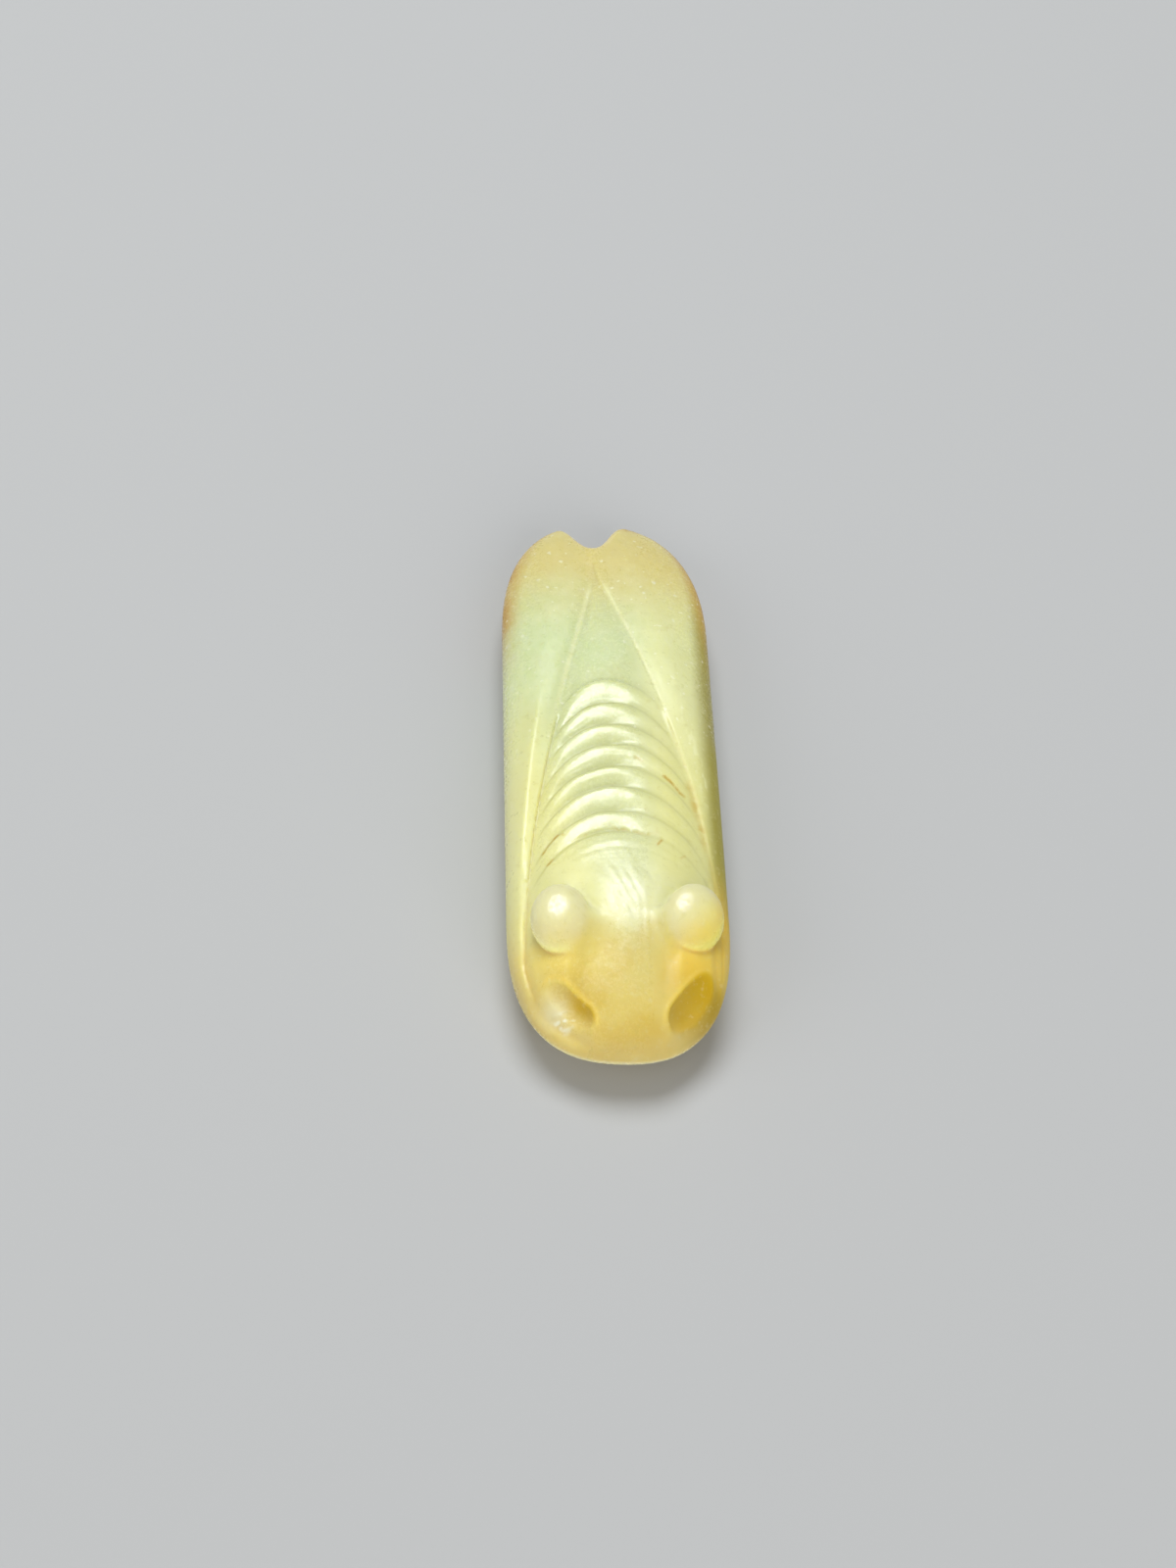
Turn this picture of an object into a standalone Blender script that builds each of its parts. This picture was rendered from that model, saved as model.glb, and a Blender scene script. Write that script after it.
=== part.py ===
"""Jade cicada carving: one solid pebble-shaped body with folded wings, a ribbed abdomen and knob eyes.

Metres, +Z up. The head points to -Y and the wing tips to +Y. The carving lies on its belly, and
the origin is on the ground under the middle of its bounding box.
"""
import math

import bmesh
import bpy
import numpy as np
from mathutils import Matrix

MM = 0.001

# Body, as a rounded bar with a blunt head end and a slimmer tail end
BODY_WIDTH = 20.96 * MM
HEAD_REACH = 32.3 * MM            # from the middle station to the front of the head
TAIL_REACH = 33.0 * MM            # from the middle station to where uncut wing tips would end
HEAD_CAP = 14.6 * MM              # length over which the head narrows, seen from above
HEAD_CAP_POWER = 2.6
FACE_SLOPE = 22.0 * MM            # length over which the face slopes down, seen from the side
FACE_SLOPE_POWER = 2.35
CHIN_CAP = 13.0 * MM              # length over which the chin rounds up
CHIN_CAP_POWER = 2.5
TAIL_CAP = 16.2 * MM              # length over which the tail narrows, seen from above
TAIL_CAP_POWER = 2.35
TAIL_EDGE = 8.0 * MM              # length over which the tail thins out, seen from the side
TAIL_EDGE_POWER = 2.3
SECTION_POWER = 2.2               # 2 is an ellipse, more is boxier

# Side profile, heights over the ground
WAIST_HEIGHT = 5.3 * MM           # height of the widest line along the body
NOSE_HEIGHT = 4.4 * MM            # height of that line at the front of the head
TAIL_HEIGHT = 4.6 * MM            # and at the wing tips
CREST_HEIGHT = 11.7 * MM          # top of the shoulders
CREST_Y = -14.0 * MM              # the back starts to fall behind this station
BACK_FALL = 3.5 * MM              # how far the back has fallen at BACK_FALL_RUN behind CREST_Y
BACK_FALL_RUN = 38.0 * MM
BELLY_FLAT_HALF = 12.0 * MM       # half length of the level stretch of the belly
CHIN_RISE = 1.4 * MM              # how far the belly line rises towards the head
TAIL_RISE = 3.0 * MM              # how far the belly line rises towards the tail
BELLY_RISE_RUN = 21.0 * MM
REST_FLAT_CUT = 0.2 * MM          # the flat spot is ground this far into the belly

# Folded wings: inner edges in a long V, each with a ridge beside it
WING_APEX_Y = 23.4 * MM           # where the inner edges meet
WING_OPEN_RUN = 47.7 * MM         # length over which the V opens
WING_OPEN_HALF = 9.15 * MM        # half width of the V beside the head
WING_OPEN_POWER = 1.05
WING_EDGE_SHARE = 0.925           # the V stays inside this share of the half width at the head
RIDGE_SHARE = 0.965
RIDGE_BAND_HEAD = 0.5 * MM        # from the inner edge to the ridge, beside the head
RIDGE_BAND_GAIN = 2.7 * MM        # how much wider that band is near the tail
RIDGE_BAND_Y = -21.0 * MM
RIDGE_BAND_RUN = 40.0 * MM
RIDGE_BAND_POWER = 1.3
RIDGE_RAISE = 0.18 * MM           # ridge over the plain body
RIDGE_SPREAD = 1.1 * MM           # how far the raise runs out down the flank
WING_INNER_SLOPE = 0.21           # fall of the wing from its ridge to its inner edge
TAIL_SLOPE_LOSS = 0.6             # share of that fall which fades out towards the wing tips
TAIL_SLOPE_Y = 14.0 * MM
TAIL_SLOPE_RUN = 14.0 * MM
AXIS_SHIFT_HEAD = 0.15 * MM       # the carving runs slightly askew on its body
AXIS_SHIFT_TAIL = -1.2 * MM
AXIS_SHIFT_Y = -22.0 * MM
AXIS_SHIFT_RUN = 49.0 * MM

# Abdomen ribs: arcs that bulge towards the tail, each a gentle rise to a crisp crest
RIB_CRESTS = [y * MM for y in (7.3, 4.2, 1.5, -1.2, -4.0, -6.5, -9.4, -11.8)]
RIB_DEPTH = 0.7 * MM
LAST_RIB_SHARE = 0.5              # the groove at the shoulders is shallower
RIB_WALL_SHARE = 0.16             # share of a rib's pitch taken by the steep back of its neighbour
RIB_RISE_POWER = 1.6
RIB_ARC_RATIO = 1.06              # arc radius over the half width of the V
RIB_RUNOUT_DEPTH = 0.4 * MM       # of the groove behind the last crest
RIB_RUNOUT = 4.5 * MM             # that groove runs out over this length
RIB_FADE_SHARE = 0.2              # outer share of the abdomen's half width where the ribs fade
RIB_BORDER_SINK = 0.385 * MM      # the ribs fade to this level at the edge of the abdomen
RIB_BORDER_HEAD = 1.5 * MM        # and that level ends this far in front of the first crest
RIB_BORDER_RUN = 2.0 * MM
ABDOMEN_CROWN_POWER = 3.0
SHOULDER_CROWN_POWER = 8.0
CROWN_CHANGE_Y = -20.0 * MM       # where the shoulder crown is reached
CROWN_CHANGE_RUN = 12.0 * MM
APEX_SINK = 0.4 * MM              # the plain triangle sinks this far towards the apex
APEX_SINK_RUN = 15.4 * MM
WING_FRONT_Y = -29.5 * MM         # the wing edges have run out here
WING_FRONT_RUN = 4.0 * MM

# Notch between the wing tips: a U whose mouth flares
NOTCH_X = -1.08 * MM
NOTCH_INSET = 5.2 * MM            # how far its bottom lies inside the uncut tail
NOTCH_HALF_WIDTH = 2.69 * MM      # at the uncut tail's end, before the flare
NOTCH_FLARE = 0.88 * MM           # how much wider the flare makes each side there
NOTCH_POINTS = 16                 # on each side of the cut

# Eyes: flattened balls that lean outwards and nod forwards, placed behind the front of the head
LEFT_EYE_X = -5.95 * MM
LEFT_EYE_BACK = 11.35 * MM
LEFT_EYE_LEAN = math.radians(5)
LEFT_EYE_NOD = math.radians(16)
LEFT_EYE_HALF_WIDTH = 2.75 * MM
LEFT_EYE_HALF_HEIGHT = 2.25 * MM
RIGHT_EYE_X = 6.38 * MM
RIGHT_EYE_BACK = 11.78 * MM
RIGHT_EYE_LEAN = math.radians(30)
RIGHT_EYE_NOD = math.radians(24)
RIGHT_EYE_HALF_WIDTH = 3.1 * MM
RIGHT_EYE_HALF_HEIGHT = 2.0 * MM
EYE_DROP = 1.35 * MM              # eye centres under the crest of the back
EYE_HALF_LENGTH = 3.3 * MM
EYE_MOAT_DEPTH = 0.25 * MM        # of the sunk ring round the outer side of each eye
EYE_MOAT_BACK_DEPTH = 0.16 * MM   # and what the back of the eye adds
EYE_MOAT_WIDTH = 0.6 * MM
EYE_MOAT_START = 0.6 * MM         # the ring starts this far inside the eye's middle
EYE_MOAT_RUN = 1.5 * MM
EYE_MOAT_BACK_RUN = 2.0 * MM

# Hollows beside the face: rounded scoops from an inner to an outer ball, with a stretched outer side
LEFT_HOLLOW_INNER_X = -4.5 * MM
LEFT_HOLLOW_INNER_BACK = 1.7 * MM
LEFT_HOLLOW_INNER_HEIGHT = 8.5 * MM
LEFT_HOLLOW_INNER_RADIUS = 2.2 * MM
LEFT_HOLLOW_OUTER_X = -7.3 * MM
LEFT_HOLLOW_OUTER_BACK = 4.0 * MM
LEFT_HOLLOW_OUTER_HEIGHT = 9.7 * MM
LEFT_HOLLOW_OUTER_RADIUS = 2.3 * MM
RIGHT_HOLLOW_INNER_X = 6.3 * MM
RIGHT_HOLLOW_INNER_BACK = 1.7 * MM
RIGHT_HOLLOW_INNER_HEIGHT = 8.3 * MM
RIGHT_HOLLOW_INNER_RADIUS = 2.8 * MM
RIGHT_HOLLOW_OUTER_X = 9.3 * MM
RIGHT_HOLLOW_OUTER_BACK = 5.9 * MM
RIGHT_HOLLOW_OUTER_HEIGHT = 10.1 * MM
RIGHT_HOLLOW_OUTER_RADIUS = 2.6 * MM
HOLLOW_STRETCH = 0.82             # the outer side reaches this share of its radius further
HOLLOW_STRETCH_WAY = (0.72, -0.6, -0.35)

# Fineness of the solid
BODY_SEGMENTS = 168
BODY_RINGS = 216
RING_END_SHARE = 0.35             # share of the ring spacing that bunches up at the two ends
BALL_SEGMENTS = 32
BALL_RINGS = 20
SOLID_FACES = 9400
WELD_REACH = 0.04 * MM            # slivers shorter than this, left by the cuts, are closed up
FLAT_REACH = 0.004 * MM           # and faces thinner than this
CUT_MARGIN = 4.0 * MM             # cutters run past the body by this much
TINY = 0.01 * MM                  # least value of a width or height that is divided by

JADE_COLOR = (0.66, 0.72, 0.40, 1.0)
JADE_ROUGHNESS = 0.28

HALF_WIDTH = BODY_WIDTH / 2
RIB_COUNT = len(RIB_CRESTS)
LEFT_EYE = (LEFT_EYE_X, LEFT_EYE_BACK - HEAD_REACH, CREST_HEIGHT - EYE_DROP)
RIGHT_EYE = (RIGHT_EYE_X, RIGHT_EYE_BACK - HEAD_REACH, CREST_HEIGHT - EYE_DROP)
LEFT_INNER = (LEFT_HOLLOW_INNER_X, LEFT_HOLLOW_INNER_BACK - HEAD_REACH, LEFT_HOLLOW_INNER_HEIGHT)
LEFT_OUTER = (LEFT_HOLLOW_OUTER_X, LEFT_HOLLOW_OUTER_BACK - HEAD_REACH, LEFT_HOLLOW_OUTER_HEIGHT)
RIGHT_INNER = (RIGHT_HOLLOW_INNER_X, RIGHT_HOLLOW_INNER_BACK - HEAD_REACH, RIGHT_HOLLOW_INNER_HEIGHT)
RIGHT_OUTER = (RIGHT_HOLLOW_OUTER_X, RIGHT_HOLLOW_OUTER_BACK - HEAD_REACH, RIGHT_HOLLOW_OUTER_HEIGHT)


def ease(t):
    """Smooth step from 0 to 1."""
    t = np.clip(t, 0.0, 1.0)
    return t * t * (3.0 - 2.0 * t)


def rounded_end(distance, length, power):
    """Share of the full size left at a distance from an end that rounds off over a length."""
    along = np.clip(1.0 - distance / length, 0.0, 1.0)
    return (1.0 - along ** power) ** (1.0 / power)


def half_width(y):
    head = rounded_end(y + HEAD_REACH, HEAD_CAP, HEAD_CAP_POWER)
    return HALF_WIDTH * head * rounded_end(TAIL_REACH - y, TAIL_CAP, TAIL_CAP_POWER)


def back_share(y):
    """Share of the full height over the waist that is left at station y."""
    head = rounded_end(y + HEAD_REACH, FACE_SLOPE, FACE_SLOPE_POWER)
    return head * rounded_end(TAIL_REACH - y, TAIL_EDGE, TAIL_EDGE_POWER)


def belly_share(y):
    head = rounded_end(y + HEAD_REACH, CHIN_CAP, CHIN_CAP_POWER)
    return head * rounded_end(TAIL_REACH - y, TAIL_EDGE, TAIL_EDGE_POWER)


def waist_height(y):
    forward = np.clip((-BELLY_FLAT_HALF - y) / BELLY_RISE_RUN, 0.0, None)
    behind = np.clip((y - BELLY_FLAT_HALF) / BELLY_RISE_RUN, 0.0, None)
    fall = (WAIST_HEIGHT - NOSE_HEIGHT) * forward ** 2 + (WAIST_HEIGHT - TAIL_HEIGHT) * behind ** 2
    return WAIST_HEIGHT - fall


def crest_height(y):
    behind = np.clip(y - CREST_Y, 0.0, None) / BACK_FALL_RUN
    return CREST_HEIGHT - BACK_FALL * behind ** 2


def keel_height(y):
    forward = np.clip((-BELLY_FLAT_HALF - y) / BELLY_RISE_RUN, 0.0, None)
    behind = np.clip((y - BELLY_FLAT_HALF) / BELLY_RISE_RUN, 0.0, None)
    return CHIN_RISE * forward ** 2 + TAIL_RISE * behind ** 2 - REST_FLAT_CUT


def back_height(x, y):
    """Height of the plain back over a point of the plan."""
    out = np.clip(np.abs(x) / np.maximum(half_width(y), TINY), 0.0, 1.0)
    share = (1.0 - out ** SECTION_POWER) ** (1.0 / SECTION_POWER) * back_share(y)
    return waist_height(y) + (crest_height(y) - waist_height(y)) * share


def axis_shift(y):
    along = np.clip((y - AXIS_SHIFT_Y) / AXIS_SHIFT_RUN, 0.0, None)
    return AXIS_SHIFT_HEAD + (AXIS_SHIFT_TAIL - AXIS_SHIFT_HEAD) * along ** 2


def wing_edge(y):
    """Half width of the V between the wings."""
    open_share = np.clip((WING_APEX_Y - y) / WING_OPEN_RUN, 0.0, 1.0) ** WING_OPEN_POWER
    edge = WING_OPEN_HALF * np.sin(math.pi / 2 * open_share)
    return np.minimum(edge, WING_EDGE_SHARE * half_width(y))


def wing_ridge(y):
    along = np.clip((y - RIDGE_BAND_Y) / RIDGE_BAND_RUN, 0.0, 1.0)
    band = RIDGE_BAND_HEAD + RIDGE_BAND_GAIN * along ** RIDGE_BAND_POWER
    return np.minimum(wing_edge(y) + band, RIDGE_SHARE * half_width(y))


def rib_sink(x, y, edge):
    """How far the ribs sink the abdomen at a point of the plan, x from the carving's axis."""
    radius = RIB_ARC_RATIO * np.maximum(edge, TINY)
    arc_y = y + radius - np.sqrt(np.clip(radius ** 2 - x ** 2, 0.0, None))
    crests = np.array(RIB_CRESTS)
    phase = np.interp(-arc_y, -crests, np.arange(RIB_COUNT))
    share = phase - np.floor(phase)
    slope = (share / (1.0 - RIB_WALL_SHARE)) ** RIB_RISE_POWER
    wall = (1.0 - share) / RIB_WALL_SHARE
    depth = np.where(phase > RIB_COUNT - 2, LAST_RIB_SHARE, 1.0) * RIB_DEPTH
    sink = depth * np.minimum(slope, wall)
    behind = arc_y - crests[0]
    wall_run = RIB_WALL_SHARE * (crests[0] - crests[1])
    runout = RIB_RUNOUT_DEPTH * np.minimum(behind / wall_run, np.exp(-behind / RIB_RUNOUT))
    sink = np.where(behind > 0.0, runout, sink)
    kept = ease((1.0 - np.abs(x) / np.maximum(edge, TINY)) / RIB_FADE_SHARE)
    behind_head = arc_y - crests[-1] + RIB_BORDER_HEAD
    level = RIB_BORDER_SINK * ease((RIB_BORDER_HEAD / 3 - behind) / RIB_BORDER_HEAD)
    return sink * kept + level * ease(behind_head / RIB_BORDER_RUN) * (1.0 - kept)


def relief(x, y):
    """Height of the carving over the plain back."""
    shift = axis_shift(y)
    across = x - shift
    side = np.where(across < 0.0, -1.0, 1.0)
    span = np.abs(across)
    edge = wing_edge(y)
    ridge = wing_ridge(y)
    plain = back_height(x, y)
    ridge_top = back_height(shift + side * ridge, y) + RIDGE_RAISE
    slope = WING_INNER_SLOPE * (1.0 - TAIL_SLOPE_LOSS * ease((y - TAIL_SLOPE_Y) / TAIL_SLOPE_RUN))
    edge_drop = back_height(shift + side * edge, y) - ridge_top + slope * (ridge - edge)
    crown = SHOULDER_CROWN_POWER + (ABDOMEN_CROWN_POWER - SHOULDER_CROWN_POWER) * ease(
        (y - CROWN_CHANGE_Y) / CROWN_CHANGE_RUN)
    apex_sink = APEX_SINK * ease((y - WING_APEX_Y + APEX_SINK_RUN) / APEX_SINK_RUN)
    fill = np.clip(span / np.maximum(edge, TINY), 0.0, 1.0)
    abdomen = -apex_sink - (edge_drop - apex_sink) * fill ** crown - rib_sink(across, y, edge)
    facet = ridge_top - slope * (ridge - span) - plain
    flank = RIDGE_RAISE * (1.0 - ease((span - ridge) / RIDGE_SPREAD))
    carved = np.where(span < edge, abdomen, np.where(span < ridge, facet, flank))
    carved = carved * ease((y - WING_FRONT_Y) / WING_FRONT_RUN)
    for center, half_width_of_eye in ((LEFT_EYE, LEFT_EYE_HALF_WIDTH), (RIGHT_EYE, RIGHT_EYE_HALF_WIDTH)):
        away = np.hypot(x - center[0], y - center[1]) - half_width_of_eye
        aside = (x - center[0]) * np.sign(center[0])
        depth = EYE_MOAT_DEPTH * ease((aside + EYE_MOAT_START) / EYE_MOAT_RUN)
        depth = depth + EYE_MOAT_BACK_DEPTH * ease((y - center[1]) / EYE_MOAT_BACK_RUN)
        carved = carved - depth * np.exp(-(away / EYE_MOAT_WIDTH) ** 2)
    return carved


def set_points(mesh, points):
    mesh.vertices.foreach_set("co", np.ascontiguousarray(points, dtype=np.float32).ravel())
    mesh.update()


def get_points(mesh):
    flat = np.empty(len(mesh.vertices) * 3, dtype=np.float32)
    mesh.vertices.foreach_get("co", flat)
    return flat.reshape(-1, 3).astype(float)


def ball_mesh(name, segments, rings):
    """A unit ball with its poles on the Y axis."""
    bm = bmesh.new()
    bmesh.ops.create_uvsphere(bm, u_segments=segments, v_segments=rings, radius=1.0)
    for vert in bm.verts:
        x, y, z = vert.co
        vert.co = (x, z, -y)
    mesh = bpy.data.meshes.new(name)
    bm.to_mesh(mesh)
    bm.free()
    return mesh


def shape_body(mesh):
    """Turns the unit ball into the body, then carves its back."""
    ball = get_points(mesh)
    polar = np.arccos(np.clip(-ball[:, 1], -1.0, 1.0)) / math.pi
    reach = (HEAD_REACH + TAIL_REACH) / 2
    even = (2.0 * polar - 1.0) * (1.0 - RING_END_SHARE)
    bunched = -np.cos(math.pi * polar) * RING_END_SHARE
    y = (TAIL_REACH - HEAD_REACH) / 2 + reach * (even + bunched)
    turn = np.arctan2(ball[:, 2], ball[:, 0])
    power = 2.0 / SECTION_POWER
    out = np.sign(np.cos(turn)) * np.abs(np.cos(turn)) ** power
    up = np.sign(np.sin(turn)) * np.abs(np.sin(turn)) ** power
    waist = waist_height(y)
    over = (crest_height(y) - waist) * back_share(y)
    under = (waist - keel_height(y)) * belly_share(y)
    lift = np.where(up > 0.0, over, under)
    x = half_width(y) * out
    z = waist + lift * up
    steep = np.abs(up) ** (SECTION_POWER - 1.0) / np.maximum(lift, TINY)
    flat = np.abs(out) ** (SECTION_POWER - 1.0) / np.maximum(half_width(y), TINY)
    length = np.maximum(np.hypot(steep, flat), 1.0)
    normal_z = steep / length
    normal_x = np.sign(out) * flat / length
    push = np.where(up > 0.0, relief(x, y), 0.0) * normal_z
    set_points(mesh, np.stack([x + push * normal_x, y, z + push * normal_z], axis=1))


def new_object(name, mesh, collection):
    obj = bpy.data.objects.new(name, mesh)
    collection.objects.link(obj)
    return obj


def ball_object(name, collection, center, half_sizes, lean, nod):
    """An oval ball that nods to -Y and leans to +X."""
    mesh = ball_mesh(name, BALL_SEGMENTS, BALL_RINGS)
    turn = np.array(Matrix.Rotation(lean, 3, "Y") @ Matrix.Rotation(nod, 3, "X"))
    set_points(mesh, (get_points(mesh) * np.array(half_sizes)) @ turn.T + np.array(center))
    return new_object(name, mesh, collection)


def scoop_object(name, collection, inner, inner_radius, outer, outer_radius):
    """The hull of two balls, with the side that faces away from the carving stretched."""
    ball = ball_mesh(name, BALL_SEGMENTS, BALL_RINGS)
    unit = get_points(ball)
    bpy.data.meshes.remove(ball)
    bm = bmesh.new()
    for center, radius in ((inner, inner_radius), (outer, outer_radius)):
        for point in unit * radius + np.array(center):
            bm.verts.new(point)
    hull = bmesh.ops.convex_hull(bm, input=list(bm.verts))
    buried = set(hull["geom_interior"] + hull["geom_unused"]) & set(bm.verts)
    bmesh.ops.delete(bm, geom=list(buried), context="VERTS")
    mesh = bpy.data.meshes.new(name)
    bm.to_mesh(mesh)
    bm.free()
    points = get_points(mesh)
    run = np.array(outer) - np.array(inner)
    share = np.clip((points - np.array(inner)) @ run / (run @ run), 0.0, 1.0)
    middle = np.array(inner) + share[:, None] * run
    way = np.array(HOLLOW_STRETCH_WAY) * np.array([np.sign(inner[0]), 1.0, 1.0])
    outward = np.maximum((points - middle) @ way, 0.0)
    set_points(mesh, points + HOLLOW_STRETCH * outward[:, None] * way)
    return new_object(name, mesh, collection)


def notch_object(collection):
    """An upright prism that cuts the notch between the wing tips."""
    bm = bmesh.new()
    run = NOTCH_INSET + CUT_MARGIN
    along = run * (np.arange(NOTCH_POINTS + 1) / NOTCH_POINTS) ** 2
    spread = NOTCH_HALF_WIDTH * np.sqrt(along / NOTCH_INSET) + NOTCH_FLARE * (along / NOTCH_INSET) ** 4
    places = [(NOTCH_X - out, y) for out, y in zip(spread[:0:-1], along[:0:-1])]
    places += [(NOTCH_X + out, y) for out, y in zip(spread, along)]
    bottom = -CUT_MARGIN
    rim = [bm.verts.new((x, TAIL_REACH - NOTCH_INSET + y, bottom)) for x, y in places]
    floor = bm.faces.new(rim)
    walls = bmesh.ops.extrude_face_region(bm, geom=[floor])
    for item in walls["geom"]:
        if isinstance(item, bmesh.types.BMVert):
            item.co.z = CREST_HEIGHT + CUT_MARGIN
    bmesh.ops.recalc_face_normals(bm, faces=list(bm.faces))
    mesh = bpy.data.meshes.new("notch_cutter")
    bm.to_mesh(mesh)
    bm.free()
    return new_object("notch_cutter", mesh, collection)


def ground_object(collection):
    """A block whose top face, at height 0, grinds the flat spot on the belly."""
    bm = bmesh.new()
    bmesh.ops.create_cube(bm, size=1.0)
    deep = 2 * CUT_MARGIN
    for vert in bm.verts:
        vert.co.x *= BODY_WIDTH + 2 * CUT_MARGIN
        vert.co.y *= HEAD_REACH + TAIL_REACH + 2 * CUT_MARGIN
        vert.co.z = (vert.co.z - 0.5) * deep
    mesh = bpy.data.meshes.new("ground_cutter")
    bm.to_mesh(mesh)
    bm.free()
    return new_object("ground_cutter", mesh, collection)


def add_boolean(obj, tool, operation):
    tool.hide_render = True
    tool.display_type = "WIRE"
    modifier = obj.modifiers.new(f"{operation.lower()} {tool.name}", "BOOLEAN")
    modifier.operation = operation
    modifier.object = tool
    modifier.solver = "EXACT"


def jade_material():
    material = bpy.data.materials.new("jade")
    material.use_nodes = True
    shader = material.node_tree.nodes["Principled BSDF"]
    shader.inputs["Base Color"].default_value = JADE_COLOR
    shader.inputs["Roughness"].default_value = JADE_ROUGHNESS
    shader.inputs["Metallic"].default_value = 0.0
    return material


def evaluated_mesh(obj):
    """The mesh with its cuts made, without slivers."""
    graph = bpy.context.evaluated_depsgraph_get()
    mesh = bpy.data.meshes.new_from_object(obj.evaluated_get(graph))
    bm = bmesh.new()
    bm.from_mesh(mesh)
    bmesh.ops.remove_doubles(bm, verts=bm.verts, dist=WELD_REACH)
    bmesh.ops.dissolve_degenerate(bm, edges=bm.edges, dist=FLAT_REACH)
    bmesh.ops.triangulate(bm, faces=bm.faces)
    bm.to_mesh(mesh)
    bm.free()
    return mesh


def build_carving(collection, cutters):
    body_mesh = ball_mesh("jade_cicada", BODY_SEGMENTS, BODY_RINGS)
    shape_body(body_mesh)
    body = new_object("jade_cicada", body_mesh, collection)
    left_half = (LEFT_EYE_HALF_WIDTH, EYE_HALF_LENGTH, LEFT_EYE_HALF_HEIGHT)
    right_half = (RIGHT_EYE_HALF_WIDTH, EYE_HALF_LENGTH, RIGHT_EYE_HALF_HEIGHT)
    left_eye = ball_object("left_eye", cutters, LEFT_EYE, left_half, LEFT_EYE_LEAN, LEFT_EYE_NOD)
    right_eye = ball_object("right_eye", cutters, RIGHT_EYE, right_half, RIGHT_EYE_LEAN, RIGHT_EYE_NOD)
    left_hollow = scoop_object("left_hollow", cutters, LEFT_INNER, LEFT_HOLLOW_INNER_RADIUS,
                               LEFT_OUTER, LEFT_HOLLOW_OUTER_RADIUS)
    right_hollow = scoop_object("right_hollow", cutters, RIGHT_INNER, RIGHT_HOLLOW_INNER_RADIUS,
                                RIGHT_OUTER, RIGHT_HOLLOW_OUTER_RADIUS)
    add_boolean(body, left_eye, "UNION")
    add_boolean(body, right_eye, "UNION")
    add_boolean(body, left_hollow, "DIFFERENCE")
    add_boolean(body, right_hollow, "DIFFERENCE")
    add_boolean(body, notch_object(cutters), "DIFFERENCE")
    add_boolean(body, ground_object(cutters), "DIFFERENCE")
    carved = evaluated_mesh(body)
    body.modifiers.clear()
    body.data = carved
    bpy.data.meshes.remove(body_mesh)
    points = get_points(carved)
    middle = (points.min(axis=0) + points.max(axis=0)) / 2
    set_points(carved, points - np.array([middle[0], middle[1], 0.0]))
    carved.name = "jade_cicada"
    carved.shade_smooth()
    carved.materials.clear()
    carved.materials.append(jade_material())
    triangles = sum(len(face.vertices) - 2 for face in carved.polygons)
    thin = body.modifiers.new("even out the facets", "DECIMATE")
    thin.ratio = SOLID_FACES / triangles
    return body


def main():
    for obj in list(bpy.data.objects):
        bpy.data.objects.remove(obj, do_unlink=True)
    collection = bpy.data.collections.new("Jade cicada")
    cutters = bpy.data.collections.new("Cutters")
    bpy.context.scene.collection.children.link(collection)
    bpy.context.scene.collection.children.link(cutters)
    build_carving(collection, cutters)


main()
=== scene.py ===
"""Looks of the jade cicada carving: a finely carved skin over the solid, its stone, the floor and light."""

import math

import bpy
import numpy as np
from mathutils import Matrix, Vector


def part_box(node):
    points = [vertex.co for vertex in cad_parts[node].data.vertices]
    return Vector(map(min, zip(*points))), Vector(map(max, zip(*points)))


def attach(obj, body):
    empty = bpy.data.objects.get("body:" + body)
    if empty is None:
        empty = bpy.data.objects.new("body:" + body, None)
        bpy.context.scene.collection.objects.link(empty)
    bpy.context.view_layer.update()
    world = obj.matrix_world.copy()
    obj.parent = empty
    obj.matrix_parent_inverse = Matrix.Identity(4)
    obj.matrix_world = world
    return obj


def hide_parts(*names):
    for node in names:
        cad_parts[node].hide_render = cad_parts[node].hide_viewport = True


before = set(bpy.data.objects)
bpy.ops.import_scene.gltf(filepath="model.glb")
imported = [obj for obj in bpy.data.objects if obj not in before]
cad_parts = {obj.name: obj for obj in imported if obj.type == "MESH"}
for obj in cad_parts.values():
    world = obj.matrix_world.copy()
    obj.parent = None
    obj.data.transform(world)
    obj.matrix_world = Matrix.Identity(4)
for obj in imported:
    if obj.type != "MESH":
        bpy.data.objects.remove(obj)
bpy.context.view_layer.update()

MM = 0.001
SEED = 7

# Sizes of the solid, in millimetres, with the head towards -Y
HALF_WIDTH = 10.48
HEAD_REACH = 32.3
TAIL_REACH = 33.0
HEAD_CAP, HEAD_CAP_POWER = 14.6, 2.6
FACE_SLOPE, FACE_SLOPE_POWER = 22.0, 2.35
CHIN_CAP, CHIN_CAP_POWER = 13.0, 2.5
TAIL_CAP, TAIL_CAP_POWER = 16.2, 2.35
TAIL_EDGE, TAIL_EDGE_POWER = 8.0, 2.3
SECTION_POWER = 2.2
WAIST_HEIGHT, NOSE_HEIGHT, TAIL_HEIGHT = 5.3, 4.4, 4.6
CREST_HEIGHT, CREST_Y = 11.7, -14.0
BACK_FALL, BACK_FALL_RUN = 3.5, 38.0
BELLY_FLAT_HALF, BELLY_RISE_RUN = 12.0, 21.0
CHIN_RISE, TAIL_RISE, REST_FLAT_CUT = 1.4, 3.0, 0.2
WING_APEX_Y, WING_OPEN_RUN, WING_OPEN_HALF, WING_OPEN_POWER = 23.4, 47.7, 9.15, 1.05
WING_EDGE_SHARE, RIDGE_SHARE = 0.925, 0.965
RIDGE_BAND_HEAD, RIDGE_BAND_GAIN, RIDGE_BAND_Y = 0.5, 2.7, -21.0
RIDGE_BAND_RUN, RIDGE_BAND_POWER = 40.0, 1.3
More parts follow.
